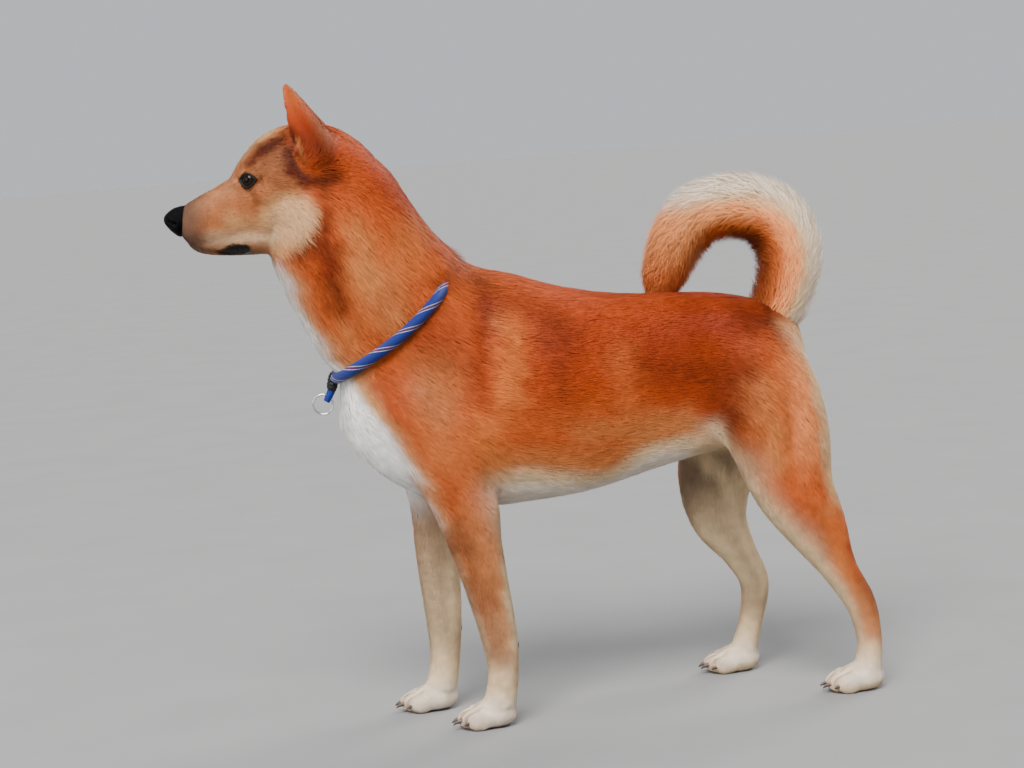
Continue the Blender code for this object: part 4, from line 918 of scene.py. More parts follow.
def headed(colour, points, fine, normals, share):
    """The face: tan bridge, cream cheek and lips, grey muzzle end, brown brow streak, red ears."""
    local = in_head(fine)
    ahead, across, height = local[:, 0], np.abs(local[:, 1]), local[:, 2]
    head = ramp(sum(share[n] for n in ("skull", "muzzle", "jaw", "cheek_left", "cheek_right")), 0.35, 0.75)
    aside = ramp(across, 0.006, 0.014)
    flat = np.stack([ahead, 0 * ahead, height], 1)

    def spot(a, b, reach, soft):
        """1 on the head near a line of its side view."""
        return head * beside(flat, a, b, reach, soft)

    def oval(middle, reach, inner, outer):
        """1 inside an oval of its side view, fading out from inner to outer shares of its reach."""
        apart = np.hypot((ahead - middle[0]) / reach[0], (height - middle[1]) / reach[1])
        return 1 - ramp(apart, inner, outer)

    colour = mixed(colour, FACE, 0.88 * head * ramp(ahead, 0.055, 0.095))
    for paint, amount, a, b, reach, soft, sides in FACE_PATCHES:
        colour = mixed(colour, paint, amount * spot(a, b, reach, soft) * (aside if sides else 1))
    # Cream cheek with a crisp hind edge, and the lips and chin pale as it is.
    edge = ahead - np.interp(height, *zip(*CHEEK_EDGE))
    cheek = oval((0.102, 0.612), (0.046, 0.044), 0.65, 1.10) * ramp(edge, -0.001, 0.003)
    colour = mixed(colour, FAWN, 0.75 * cheek)
    colour = mixed(colour, CREAM, 0.30 * cheek * oval((0.098, 0.616), (0.040, 0.034), 0.40, 1.05))
    colour = mixed(colour, CREAM, 0.60 * spot((0.120, 0.600), (0.200, 0.602), 0.008, 0.010))
    # Painted shade: the underside of the head, facing down, darkened to rose.
    colour = mixed(colour, ROSE, 0.85 * head * ramp(-normals[:, 2], 0.25, 0.8) * ramp(ahead, 0.05, 0.08))
    # Painted shadow on the neck just behind the cheek's hind edge.
    below = share["neck"] + head
    shade = ramp(edge, -0.022, -0.012) * (1 - ramp(edge, -0.001, 0.002)) * ramp(height, 0.566, 0.578)
    colour = mixed(colour, UMBER, 0.96 * below * shade * (1 - ramp(height, 0.622, 0.646)))
    # Grey brown round the nose, black lips and black rims round the eyes.
    colour = mixed(colour, GREY, 0.80 * head * ramp(ahead, 0.188, 0.226))
    colour = mixed(colour, GREY, 0.50 * spot((0.215, 0.598), (0.228, 0.606), 0.006, 0.008))
    black = (1 - ramp(lip_gap(local), 0.0, 0.0016)) * (0.35 + 0.55 * (1 - ramp(ahead, 0.190, 0.202)))
    colour = mixed(colour, SOOT, head * black)
    colour = mixed(colour, SOOT, 0.92 * (1 - ramp(eye_gap(points), 0.0003, 0.0024)))
    colour = mixed(colour, SOOT, 0.70 * spot((0.160, 0.668), (0.167, 0.663), 0.0004, 0.0016) * aside)
    ears = ramp(share["ear_left"] + share["ear_right"], 0.30, 0.70)
    for side, sign in SIDES.items():
        base, tip, over, facing = ear_frame(sign)
        along = (points - base) @ (tip - base) / ((tip - base) @ (tip - base))
        half, depth = spline([r[0] for r in EAR_ROWS], [r[1:3] for r in EAR_ROWS], np.clip(along, 0, 1)).T
        apart = points - base - along[:, None] * (tip - base)
        wall = np.hypot((apart @ over) / half, (apart @ facing) / depth)
        there = ears * (share[f"ear_{side}"] > 0.2)
        cup = there * (1 - ramp(wall, 0.74, 0.88)) * ramp(normals @ facing, -0.2, 0.2)
        colour = mixed(colour, RED, 0.90 * there)
        colour = mixed(colour, BRICK, 0.70 * there * (1 - ramp(along, 0.30, 0.80)))
        colour = mixed(colour, UMBER, 0.78 * there * (1 - ramp(along, 0.05, 0.66)))
        lit = 0.25 * ramp(along, 0.50, 0.95) + 0.30 * ramp(normals[:, 0], 0.3, 0.9)
        colour = mixed(colour, TAN, there * lit)
        colour = mixed(colour, PINK, 0.80 * cup)
        # Painted shade deep in the cup, towards the ear's root.
        colour = mixed(colour, SOOT, 0.75 * cup * (1 - ramp(along, 0.35, 0.80)))
    for paint, amount, a, b, reach, soft in EAR_PATCHES:
        colour = mixed(colour, paint, amount * (below + ears) * beside(flat, a, b, reach, soft) * aside)
    return colour


# ---- The skin as a piece ----------------------------------------------------------------
# The hide under the coat: short lying hairs on a supple skin, drawn as fine streaks that run the
# way the body is combed. It stands for every solid of flesh.

FLESH = ["head", "neck", "chest", "abdomen", "pelvis", "tail_root", "tail_rise", "tail_crown", "tail_fall"]
FLESH += [f"{part}_{side}" for side in SIDES for part in
          ("ear", "shoulder", "forearm", "forefoot", "thigh", "lower_leg", "hindfoot")]


def grain(points, nearest):
    """Places read in the nearest path's frame: along it, sideways and up from its middle."""
    one = SAMPLES[nearest]
    apart = points - one[:, 2:5]
    side, up = one[:, 6:9], one[:, 9:12]
    length = np.array([np.linalg.norm(np.diff(STRETCHES[n][0], axis=0), axis=1).sum() for n in NAMES])
    along = one[:, 1] * length[one[:, 0].astype(int)] + (apart * np.cross(up, side)).sum(1) * -1
    return np.stack([along, (apart * side).sum(1), (apart * up).sum(1)], 1)


def tinted(mesh, name, colours):
    """A colour kept on each point of a mesh."""
    layer = mesh.attributes.new(name, "FLOAT_COLOR", "POINT")
    opaque = np.column_stack([colours, np.ones(len(colours))])
    layer.data.foreach_set("color", opaque.astype(np.float32).ravel())


def measured(mesh, name, rows):
    """Three numbers kept on each point of a mesh."""
    layer = mesh.attributes.new(name, "FLOAT_VECTOR", "POINT")
    layer.data.foreach_set("vector", np.asarray(rows, np.float32).ravel())


def finish(name, **sockets):
    """A material with a Principled shader whose sockets are set by name, _ standing for a space."""
    made = bpy.data.materials.new(name)
    made.use_nodes = True
    shader = made.node_tree.nodes["Principled BSDF"]
    for socket, value in sockets.items():
        shader.inputs[socket.replace("_", " ")].default_value = value
    return made, made.node_tree, shader


def node(tree, kind, **settings):
    """A node with its properties and unlinked sockets set."""
    made = tree.nodes.new(kind)
    for name, value in settings.items():
        if name.startswith("in_"):
            made.inputs[int(name[3:])].default_value = value
        else:
            setattr(made, name, value)
    return made


def multiplied(tree, first, second):
    """Two colours multiplied."""
    blend = node(tree, "ShaderNodeMix", data_type="RGBA", blend_type="MULTIPLY", in_0=1.0)
    tree.links.new(first, blend.inputs[6])
    tree.links.new(second, blend.inputs[7])
    return blend.outputs[2]


def speckled(tree, source, vector, scale, low, high):
    """A colour multiplied by noise running from low to high, and the noise itself."""
    noise = node(tree, "ShaderNodeTexNoise", in_2=scale, in_3=3.0)
    tree.links.new(vector, noise.inputs["Vector"])
    span = node(tree, "ShaderNodeMapRange", in_1=0.3, in_2=0.7, in_3=low, in_4=high)
    tree.links.new(noise.outputs["Fac"], span.inputs["Value"])
    return multiplied(tree, source, span.outputs["Result"]), noise.outputs["Fac"]


def bumped(tree, shader, height, distance, strength=1.0):
    """A height joined to a shader's normal."""
    bump = node(tree, "ShaderNodeBump", in_0=strength, in_1=distance)
    tree.links.new(height, bump.inputs["Height"])
    tree.links.new(bump.outputs["Normal"], shader.inputs["Normal"])
    return bump


def hide_finish():
    """Coat colour from the points, streaked along the grain."""
    made, tree, shader = finish("short_coat", Roughness=0.72, Specular_IOR_Level=0.22,
                                Sheen_Weight=0.12, Sheen_Roughness=0.45)
    colour = node(tree, "ShaderNodeAttribute", attribute_name="coat")
    way = node(tree, "ShaderNodeAttribute", attribute_name="grain")
    drawn = node(tree, "ShaderNodeVectorMath", operation="MULTIPLY")
    drawn.inputs[1].default_value = (130.0, 1500.0, 1500.0)
    tree.links.new(way.outputs["Vector"], drawn.inputs[0])
    streaked, height = speckled(tree, colour.outputs["Color"], drawn.outputs["Vector"], 1.0, 0.80, 1.16)
    tree.links.new(streaked, shader.inputs["Base Color"])
    bumped(tree, shader, height, 0.0006, 0.6)
    return made


def kept(piece, material):
    """A finished piece: its material, and the body that it rides on."""
    piece.data.materials.append(material)
    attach(piece, "root")
    return piece


skin = new_mesh("skin", skin_points, skin_quads)
thin = skin.modifiers.new("thin", "DECIMATE")
thin.ratio = SKIN_FACES / (2 * len(skin_quads))
thin.use_collapse_triangulate = True
baked(skin)
skin.data.shade_smooth()
skin_points, skin_tris = mesh_points(skin.data), mesh_corners(skin.data, 3)
skin_normals = point_normals(skin_points, skin_tris)
skin_lie, skin_hair, skin_pull, skin_nearest = combed(skin_points)
tinted(skin.data, "coat", markings_and_painted_light(skin_points, skin_normals, skin_pull))
measured(skin.data, "grain", grain(skin_points, skin_nearest))
kept(skin, hide_finish())
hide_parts(*FLESH)


# ---- Coat -------------------------------------------------------------------------------
# The hair of the coat, gathered into fine locks that overlap like thatch. Each is a thin blade,
# pointed at both ends, that follows the skin and rises to the coat's depth at its tip.

LOCK_MOST = 98000            # locks in one piece, of two triangles each
LAYERS = {"head": 3.6, "neck": 5.4, "trunk": 5.4, "leg": 4.4}
GROUPS = {"head": ["skull", "muzzle", "jaw", "cheek_left", "cheek_right", "ear_left", "ear_right"],
          "neck": ["neck"], "trunk": ["trunk"], "fore_left": ["fore_left"], "fore_right": ["fore_right"],
          "hind_left": ["hind_left"], "hind_right": ["hind_right"]}
BLADE = np.array([(0, 1, 2), (1, 3, 2)])       # root, the two sides of the belly, tip
BLADE_PATCH = np.array([(0, -1), (1, -0.1), (-1, -0.1), (0, 1)])
PATCH_HALF = 0.0015                            # half-size of a lock's patch on the unwrap
COLLAR_SUNK = 0.012                            # how deep in the fur the cord lies over the withers
COLLAR_TUFT = (-0.066, -0.004, 0.554)          # where it pushes the hair up
SWIRLS, STRAY_TURN = np.radians(8), np.radians(7)      # how far locks turn together and alone


def settled(points, lift=0.0):
    """Points moved to the nearest place on the skin, or that far above it."""
    carrier = new_mesh("carrier", points, [])
    wrap = carrier.modifiers.new("wrap", "SHRINKWRAP")
    wrap.target, wrap.wrap_mode, wrap.offset = skin, "ABOVE_SURFACE" if lift else "ON_SURFACE", lift
    baked(carrier)
    moved = mesh_points(carrier.data)
    bpy.data.objects.remove(carrier, do_unlink=True)
    return moved


def laid(points):
    """Places on the skin nearest to points, and the skin's normals there."""
    on_skin = settled(points)
    return on_skin, unit(settled(points, 0.002) - on_skin)


def along_skin(way, normal):
    """A way laid flat on a surface."""
    return unit(way - (way * normal).sum(1, keepdims=True) * normal)


def sown(weight, seed):
    """Triangles and shares of their corners for roots spread evenly by weight."""
    chance = np.random.default_rng(seed)
    total = np.cumsum(weight)
    count = int(total[-1])
    ticks = (np.arange(count) + chance.uniform(0, 1, count)) * total[-1] / count
    picked = np.clip(np.searchsorted(total, ticks), 0, len(weight) - 1)
    a, b = np.sqrt(chance.uniform(0, 1, count)), chance.uniform(0, 1, count)
    return picked, np.stack([1 - a, a * (1 - b), a * b], 1)


def read(values, tris, shares):
    """Values on points read inside triangles by the shares of their corners."""
    return (values[tris] * shares[:, :, None]).sum(1)


def fast_mesh(name, locks, shape, colours, facing, patches, finish_used):
    """A coat piece: its locks' points, the triangles of one lock, and each point's other values.

    The facing is the skin's own below the lock, so a layer of locks is lit as one soft surface.
    """
    tris = (np.arange(len(locks))[:, None, None] * locks.shape[1] + shape).reshape(-1, 3)
    points, patches = locks.reshape(-1, 3), patches.reshape(-1, 2)
    mesh = bpy.data.meshes.new(name)
    mesh.vertices.add(len(points))
    mesh.vertices.foreach_set("co", points.astype(np.float32).ravel())
    mesh.loops.add(tris.size)
    mesh.loops.foreach_set("vertex_index", tris.astype(np.int32).ravel())
    mesh.polygons.add(len(tris))
    mesh.polygons.foreach_set("loop_start", np.arange(0, tris.size, 3, dtype=np.int32))
    mesh.update(calc_edges=True)
    mesh.shade_smooth()
    tinted(mesh, "coat", colours.reshape(-1, 3))
    layer = mesh.uv_layers.new(name="OFBake")
    layer.uv.foreach_set("vector", patches[tris.ravel()].astype(np.float32).ravel())
    mesh.normals_split_custom_set_from_vertices(facing.reshape(-1, 3))
    piece = bpy.data.objects.new(name, mesh)
    bpy.context.scene.collection.objects.link(piece)
    return kept(piece, finish_used)


def unwrapped(points, nearest, rows):
    """Place on the skin's unwrap: share along the path, and turn round it, a strip to each stretch."""
    one = SAMPLES[nearest]
    apart = points - one[:, 2:5]
    turn = np.arctan2((apart * one[:, 6:9]).sum(1), (apart * one[:, 9:12]).sum(1)) / (2 * np.pi) + 0.5
    strip = np.array([rows.index(name) if name in rows else 0 for name in NAMES])[one[:, 0].astype(int)]
    return np.stack([0.01 + 0.98 * one[:, 1], (strip + 0.02 + 0.96 * turn) / len(rows)], 1)


def hair_finish(name, roughness, low, high):
    """Colour from the points, varied a little from place to place, with the sheen of clean hair."""
    made, tree, shader = finish(name, Roughness=roughness, Specular_IOR_Level=0.12,
                                Sheen_Weight=0.03, Sheen_Roughness=0.40)
    colour = node(tree, "ShaderNodeAttribute", attribute_name="coat")
    place = node(tree, "ShaderNodeTexCoord")
    varied, _ = speckled(tree, colour.outputs["Color"], place.outputs["Object"], 70.0, low, high)
    tree.links.new(varied, shader.inputs["Base Color"])
    return made


def collar_gap(points):
    """Distance from points to the middle of the collar's cord."""
    gap = np.full(len(points), 1.0)
    near = np.flatnonzero((points[:, 0] > -0.27) & (points[:, 0] < 0.0) & (points[:, 2] > 0.38))
    for start in range(0, len(near), 40000):
        some = near[start:start + 40000]
        gap[some] = np.linalg.norm(points[some, None] - collar_line[None, ::4], axis=2).min(1)
    return gap + 0.030 * ramp(points[:, 0], -0.095, -0.075)


def waves_of(turn, most=6):
    """A column of ones, and the cosine and sine of each whole multiple of the turn, up to most."""
    pairs = [wave(k * turn) for k in range(1, most + 1) for wave in (np.cos, np.sin)]
    return np.stack([np.ones(len(turn)), *pairs], 1)


def collar_middle(count=160):
    """The collar's middle line: its solid's points averaged by turn, smoothed by six waves.

    Over the withers the cord lies deep in the fur and the locks cover it.
    """
    solid = mesh_points(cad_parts["collar"].data)
    middle = (solid.min(0) + solid.max(0)) / 2
    slope = unit(np.array([solid[:, 0].max() - solid[:, 0].min(), 0, solid[:, 2].max() - solid[:, 2].min()]))
    turn = np.arctan2((solid - middle)[:, 1], (solid - middle) @ slope)
    shape = np.linalg.lstsq(waves_of(turn), solid, rcond=None)[0]
    line = waves_of(np.linspace(0, 2 * np.pi, count, endpoint=False)) @ shape
    return line + COLLAR_SUNK * ramp(line[:, 0], -0.105, -0.070)[:, None] * unit(middle - line)


collar_line = collar_middle()
corners = skin_points[skin_tris]
area = np.linalg.norm(np.cross(corners[:, 1] - corners[:, 0], corners[:, 2] - corners[:, 0]), axis=1) / 2
middles = corners.mean(1)
tri_hair = skin_hair[skin_tris].mean(1)
owner = skin_pull.argmax(1)[skin_tris[:, 0]]
layers = np.zeros(len(skin_tris))
for group, stretches in GROUPS.items():
    inside = np.isin(owner, [NAMES.index(n) for n in stretches])
    layers[inside] = LAYERS.get(group, LAYERS["leg"])
facing_up = unit(np.cross(corners[:, 1] - corners[:, 0], corners[:, 2] - corners[:, 0]))[:, 2]
# No hair grows in the eyes' openings, under the feet, below the nose or on the black lip.
bare = (eye_gap(middles) < 0) | ((middles[:, 2] < 0.006) & (facing_up < -0.5))
faced = in_head(middles)
bare |= (faced[:, 0] > 0.2385) & (middles[:, 2] > 0.606)
bare |= (lip_gap(faced) < 0) & (faced[:, 0] < 0.202) & (skin_pull[skin_tris[:, 0], NAMES.index("neck")] < 0.5)
density = np.where(bare, 0, layers / (0.5 * tri_hair[:, 1] * tri_hair[:, 2]))
picked, shares = sown(area * density, 11)
tris = skin_tris[picked]
lock = dict(root=read(skin_points, tris, shares), normal=unit(read(skin_normals, tris, shares)),
            hair=read(skin_hair, tris, shares), pull=read(skin_pull, tris, shares))
lock["lie"] = along_skin(read(skin_lie, tris, shares), lock["normal"])
lock["nearest"] = skin_nearest[tris[:, 0]]
lock["owner"] = owner[picked]
chance = np.random.default_rng(12)
count = len(lock["root"])
across = np.cross(lock["normal"], lock["lie"])
swirl = SWIRLS * lumps(lock["root"], 0.040, 13) + STRAY_TURN * chance.normal(size=count)
way = np.cos(swirl)[:, None] * lock["lie"] + np.sin(swirl)[:, None] * across
depth, length, width = lock["hair"].T
length = length * chance.uniform(0.72, 1.18, count)
length = np.minimum(length, np.maximum(eye_gap(lock["root"]) + 0.0012, 0.0022))
belly, belly_normal = laid(lock["root"] + way * (0.42 * length)[:, None])
way = along_skin(way, belly_normal)
tip, tip_normal = laid(belly + way * (0.58 * length)[:, None])
ruffled = np.where(chance.uniform(size=count) < 0.03, chance.uniform(1.1, 1.4, count), 1.0)
height = depth * (0.94 + 0.07 * lumps(lock["root"], 0.018, 14))
gap_belly, gap_tip = collar_gap(belly), collar_gap(tip)
belly_rise = height * chance.uniform(0.55, 0.85, count) * (0.25 + 0.75 * ramp(gap_belly, 0.008, 0.022))
tip_rise = height * chance.uniform(0.80, 1.02, count) * ruffled * (0.25 + 0.75 * ramp(gap_tip, 0.008, 0.022))
# Hair pushed up by the cord where it comes over the withers.
pushed = np.linalg.norm((tip - COLLAR_TUFT) / [0.016, 0.014, 0.020], axis=1)
tip_rise = tip_rise + 0.008 * chance.uniform(0.4, 1.0, count) * (1 - ramp(pushed, 0.2, 1.0))
roll = np.radians(chance.normal(0, 8, count))
spread = np.cross(way, belly_normal) * np.cos(roll)[:, None] + belly_normal * np.sin(roll)[:, None]
half = (0.5 * width * chance.uniform(0.7, 1.25, count))[:, None] * spread
root = lock["root"] - 0.0003 * lock["normal"]
belly_place = belly + belly_rise[:, None] * belly_normal
tip_place = tip + tip_rise[:, None] * tip_normal
blades = np.stack([root, belly_place + half, belly_place - half, tip_place], 1)
blades[..., 2] = np.maximum(blades[..., 2], SOLE_HEIGHT)
shift = (0.10 * length * chance.normal(size=count))[:, None] * way
tones = [markings_and_painted_light(spot + shift, normal, lock["pull"]) for spot, normal in
         ((belly, belly_normal), (tip - 0.15 * (tip - belly), tip_normal))]
vary = (1 + 0.055 * chance.normal(size=count) + 0.035 * lumps(lock["root"], 0.012, 15))[:, None]
# Each lock a little darker at its root, painted shade deep in the coat, and a little lighter at its tip.
tones = np.stack([tones[0] * 0.94, tones[0], tones[0], tones[1] * 1.03], 1) * vary[:, None]
leaned = belly_normal - 0.5 * np.sin(roll)[:, None] * np.cross(way, belly_normal)
facing = unit(leaned[:, None] + np.array([0.0, 0, 0, 0.5])[None, :, None] * tip_normal[:, None])
# The pale hair of the belly lets light through from its sides, so it faces outward more.
lit_through = lock["pull"][:, NAMES.index("trunk")] * ramp(-belly_normal[:, 2], 0.0, 0.7)
sideways = np.stack([0 * lit_through, np.clip(belly[:, 1] / 0.03, -1, 1), 0.25 + 0 * lit_through], 1)
facing = unit(facing + 0.8 * (lit_through[:, None] * sideways)[:, None])
coat_finish = hair_finish("guard_hair", 0.58, 0.90, 1.10)
for group, stretches in GROUPS.items():
    mine = np.flatnonzero(np.isin(lock["owner"], [NAMES.index(n) for n in stretches]))
    mine = mine[np.argsort(lock["root"][mine, 0], kind="stable")]
    parts = int(np.ceil(len(mine) / LOCK_MOST))
    for number, some in enumerate(np.array_split(mine, parts), 1):
        base = unwrapped(lock["root"][some], lock["nearest"][some], stretches)
        fast_mesh(f"coat_{group}_{number}", blades[some], BLADE, tones[some], facing[some],
                  base[:, None] + PATCH_HALF * BLADE_PATCH, coat_finish)


# ---- Tail brush -------------------------------------------------------------------------
# The long hair of the tail, far thicker than the tail itself. Each lock springs from the skin,
# bends over and runs on along the curl, longest on its outer side.

BRUSH_LOCKS = 49000
# Station, then how far the brush stands from the tail's middle: outside the curl, inside, sideways.
BRUSH_REACH = [(0, 0.034, 0.033, 0.034), (1, 0.039, 0.038, 0.036), (2, 0.043, 0.041, 0.039),
               (4, 0.049, 0.043, 0.041), (6, 0.048, 0.040, 0.041), (8, 0.045, 0.039, 0.039),
               (9, 0.041, 0.039, 0.037), (10, 0.037, 0.035, 0.033), (11, 0.032, 0.029, 0.028),
               (12, 0.021, 0.018, 0.018)]
PLUME = np.array([(0, 1, 2), (1, 3, 2), (2, 3, 4), (3, 5, 4)])      # root, two pairs, tip
PLUME_PATCH = np.array([(0, -1), (1, -0.3), (-1, -0.3), (0.8, 0.4), (-0.8, 0.4), (0, 1)])
# The plume's tones are painted shade, darkest at the root deep in the brush.
PLUME_TONES = np.array([0.80, 0.93, 0.93, 1.0, 1.0, 1.05])          # darkest at the root
PER_STATION = 0.0345               # length of the tail from one station to the next


def brush_point(at, turn, out):
    """A place round the tail: station on its path, turn from its outer side, distance outward."""
    centre, ahead, side, up = path_frames(TAIL_PATH, np.clip(at, 0, 12))
    radial = np.cos(turn)[:, None] * up + np.sin(turn)[:, None] * side
    past = np.clip(at - 12, 0, None) * 0.030
    return centre + past[:, None] * ahead + out[:, None] * radial, radial


def brush_reach(at, turn):
    """How far the brush stands there: an oval through its outer, inner and sideways reach."""
    rows = np.asarray(BRUSH_REACH)
    outer, inner, side = spline(rows[:, 0], rows[:, 1:], np.clip(at, 0, 12)).T
    tall = np.where(np.cos(turn) > 0, outer, inner)
    return 1 / np.sqrt((np.cos(turn) / tall) ** 2 + (np.sin(turn) / side) ** 2)


def brushed(seed):
    """Places of every lock's root, two pairs and tip, with its colour, facing and place on the skin.

    A lock rises off the tail at its root and bends over to run along it; one in three on the outer
    side keeps its slant and stands out of the brush at its tip.
    """
    chance = np.random.default_rng(seed)
    n = BRUSH_LOCKS
    at = 0.1 + 11.7 * ((np.arange(n) + chance.uniform(size=n)) / n) ** 0.93
    turn = chance.uniform(0, 2 * np.pi, n)
    core = np.interp(at, [g[0] for g in TAIL_GIRTH], [g[1] for g in TAIL_GIRTH])
    outer = 0.5 + 0.5 * np.cos(turn)
    ring = np.stack([at * 0.035, np.cos(turn) * 0.035, np.sin(turn) * 0.035], 1)
    stands = chance.uniform(size=n) < 0.10 + 0.28 * outer
    length = 0.032 + 0.014 * outer
    length = length * chance.uniform(0.75, 1.15, n) * np.interp(at, [0, 2, 10, 12], [0.8, 1, 0.9, 0.6])
    length = length * np.where(stands, 0.80, 1.0)
    full = np.where(stands, chance.uniform(0.94, 1.08, n), chance.uniform(0.66, 1.0, n))
    full = full * (1 + 0.035 * lumps(ring, 0.010, 22) * outer)
    power = np.where(stands, 1.15, 1.7)
    bend = chance.normal(0, 0.22, n) + 0.14 * lumps(ring, 0.022, 23)
    places, radials = [], []
    for share in (0.0, 0.35, 0.70, 1.0):
        station = at + share * length / PER_STATION
        swing = turn + bend * share**1.5
        rise = 1 - (1 - share) ** power
        reach = brush_reach(station, swing) * full
        out = (core - 0.001) + (np.maximum(reach, core + 0.003) - core + 0.001) * rise
        place, radial = brush_point(station, swing, out)
        places.append(place)
        radials.append(radial)
    wide = 0.0008 * chance.uniform(0.7, 1.3, n)[:, None]
    run = unit(places[3] - places[0])
    roll = chance.normal(0, 0.25, n)[:, None]
    spread = unit(np.cross(run, radials[2])) * np.cos(roll) + radials[2] * np.sin(roll)
    points = np.stack([places[0], places[1] + 0.5 * wide * spread, places[1] - 0.5 * wide * spread,
                       places[2] + 0.42 * wide * spread, places[2] - 0.42 * wide * spread, places[3]], 1)
    facing = np.stack([radials[k] for k in (0, 1, 1, 2, 2, 3)], 1)
    facing = unit(facing + 0.18 * chance.normal(size=(n, 1, 3)))
    pull = np.zeros((n, len(NAMES)))
    pull[:, NAMES.index("tail")] = 1
    tone = markings_and_painted_light(0.35 * places[2] + 0.65 * places[3], radials[2], pull)
    tone = tone * (1 + 0.05 * chance.normal(size=n) + 0.03 * lumps(places[0], 0.012, 24))[:, None]
    base = np.stack([0.01 + 0.98 * at / 12, turn / (2 * np.pi)], 1)
    return points, tone, facing, base


brush, brush_tone, brush_facing, brush_base = brushed(21)
fast_mesh("coat_tail", brush, PLUME, brush_tone[:, None] * PLUME_TONES[None, :, None], brush_facing,
          brush_base[:, None] + PATCH_HALF * PLUME_PATCH, hair_finish("brush_hair", 0.62, 0.95, 1.05))


# ---- Eyes -------------------------------------------------------------------------------
# Glassy balls, each a dark brown iris round a black pupil under a clear bulging cornea, and the
# bare black rims of the lids round them.

IRIS, PUPIL = math.radians(40), math.radians(19)
CORNEA_RISE = 0.0009               # how far the cornea bulges from the ball
LOOK_SPAN = 1.6                    # the angle at which the bands of the eye's colours end


def eyeball(side, rings=48, ring=64):
    """A ball with a bulge over its iris: radius R + c(1 - (a/a0)^2)^2 out to an angle a0."""
    middle, out, inner, up = eye_frame(side)
    a = np.linspace(0.0, np.pi, rings)[:, None]
    b = np.linspace(0, 2 * np.pi, ring, endpoint=False)[None]
    reach = EYE_RADIUS + CORNEA_RISE * np.clip(1 - (a / (IRIS * 1.1)) ** 2, 0, 1) ** 2
    way = (np.cos(a)[..., None] * out + (np.sin(a) * np.cos(b))[..., None] * inner
           + (np.sin(a) * np.sin(b))[..., None] * up)
    points = middle + reach[..., None] * way
    return points.reshape(-1, 3), grid_faces(rings, ring)


def banded(tree, number, stops, blending="LINEAR"):
    """Colours by bands of a number from 0 to 1: where each starts, and the colour."""
    bands = node(tree, "ShaderNodeValToRGB")
    bands.color_ramp.interpolation = blending
    while len(bands.color_ramp.elements) < len(stops):
        bands.color_ramp.elements.new(0.5)
    for element, (place, colour) in zip(bands.color_ramp.elements, stops):
        element.position, element.color = place, (*colour, 1)
    tree.links.new(number, bands.inputs["Fac"])
    return bands.outputs["Color"]


def eye_finish():
    """Pupil, iris and dark white, told apart by the angle from the way the eye looks."""
    made, tree, shader = finish("glass_eye", Roughness=0.09, Coat_Weight=0.10, Coat_Roughness=0.03,
                                Specular_IOR_Level=0.08)
    angle = node(tree, "ShaderNodeAttribute", attribute_name="look")
    parts = node(tree, "ShaderNodeSeparateXYZ")
    tree.links.new(angle.outputs["Vector"], parts.inputs[0])
    span = node(tree, "ShaderNodeMath", operation="DIVIDE", in_1=LOOK_SPAN)
    tree.links.new(parts.outputs["X"], span.inputs[0])
    bands = banded(tree, span.outputs[0], [
        (0.0, (0.001, 0.001, 0.001)), (PUPIL / LOOK_SPAN, (0.001, 0.001, 0.001)),
        ((PUPIL + 0.05) / LOOK_SPAN, (0.024, 0.0070, 0.0020)),
        (IRIS * 0.85 / LOOK_SPAN, (0.013, 0.0040, 0.0015)),
        (IRIS / LOOK_SPAN, (0.002, 0.0015, 0.0015)), (0.75, (0.02, 0.012, 0.010))])
    drawn, _ = speckled(tree, bands, angle.outputs["Vector"], 22.0, 0.75, 1.3)
    tree.links.new(drawn, shader.inputs["Base Color"])
    return made


def tube_on(path, radius, ring=14):
    """A round tube of a given radius at each point of a closed path of places."""
    ahead = unit(np.roll(path, -1, 0) - np.roll(path, 1, 0))
    middle = path.mean(0)
    side = unit(np.cross(ahead, unit(path - middle)))
    out = np.cross(side, ahead)
    b = np.linspace(0, 2 * np.pi, ring, endpoint=False)
    points = path[:, None] + radius[:, None, None] * (np.cos(b)[None, :, None] * out[:, None]
                                                      + np.sin(b)[None, :, None] * side[:, None])
    faces = grid_faces(len(path) + 1, ring) % (len(path) * ring)
    return points.reshape(-1, 3), faces


def lid_rim(side, count=120):
    """The rim of the lids: a tube along the almond's edge, resting on the ball, thicker at its corners."""
    middle, out, inner, up = eye_frame(side)
    b = np.linspace(0, 2 * np.pi, count, endpoint=False)
    along = ALMOND[0] * np.cos(b)
    tall = np.where(np.sin(b) > 0, ALMOND[1], ALMOND[2])
    over = tall * np.sin(b) * np.sqrt(np.clip(1 - (along / (1.22 * ALMOND[0])) ** 2, 0.30, 1))
    ball = np.sqrt(np.clip(EYE_RADIUS**2 - along**2 - over**2, 0, None))
    high = np.maximum(lid_height(along, over) - 0.0004, ball + 0.0004)
    path = middle + along[:, None] * inner + over[:, None] * up + high[:, None] * out
    return tube_on(path, 0.0014 + 0.0006 * np.cos(b) ** 4)


def varied(name, colour, scale, low, high, **sockets):
    """A finish of one colour varied by fine noise, with its tree, shader, places and noise."""
    made, tree, shader = finish(name, **{"Specular_IOR_Level": 0.2, **sockets})
    place = node(tree, "ShaderNodeTexCoord").outputs["Object"]
    paint = node(tree, "ShaderNodeRGB")
    paint.outputs[0].default_value = (*colour, 1)
    tone, noise = speckled(tree, paint.outputs[0], place, scale, low, high)
    tree.links.new(tone, shader.inputs["Base Color"])
    return made, tree, shader, place, noise


def plain_finish(name, colour, scale, low, high, depth, strength=0.6, **sockets):
    """One colour varied by fine noise that also makes a shallow relief."""
    made, tree, shader, _, noise = varied(name, colour, scale, low, high, **sockets)
    bumped(tree, shader, noise, depth, strength)
    return made


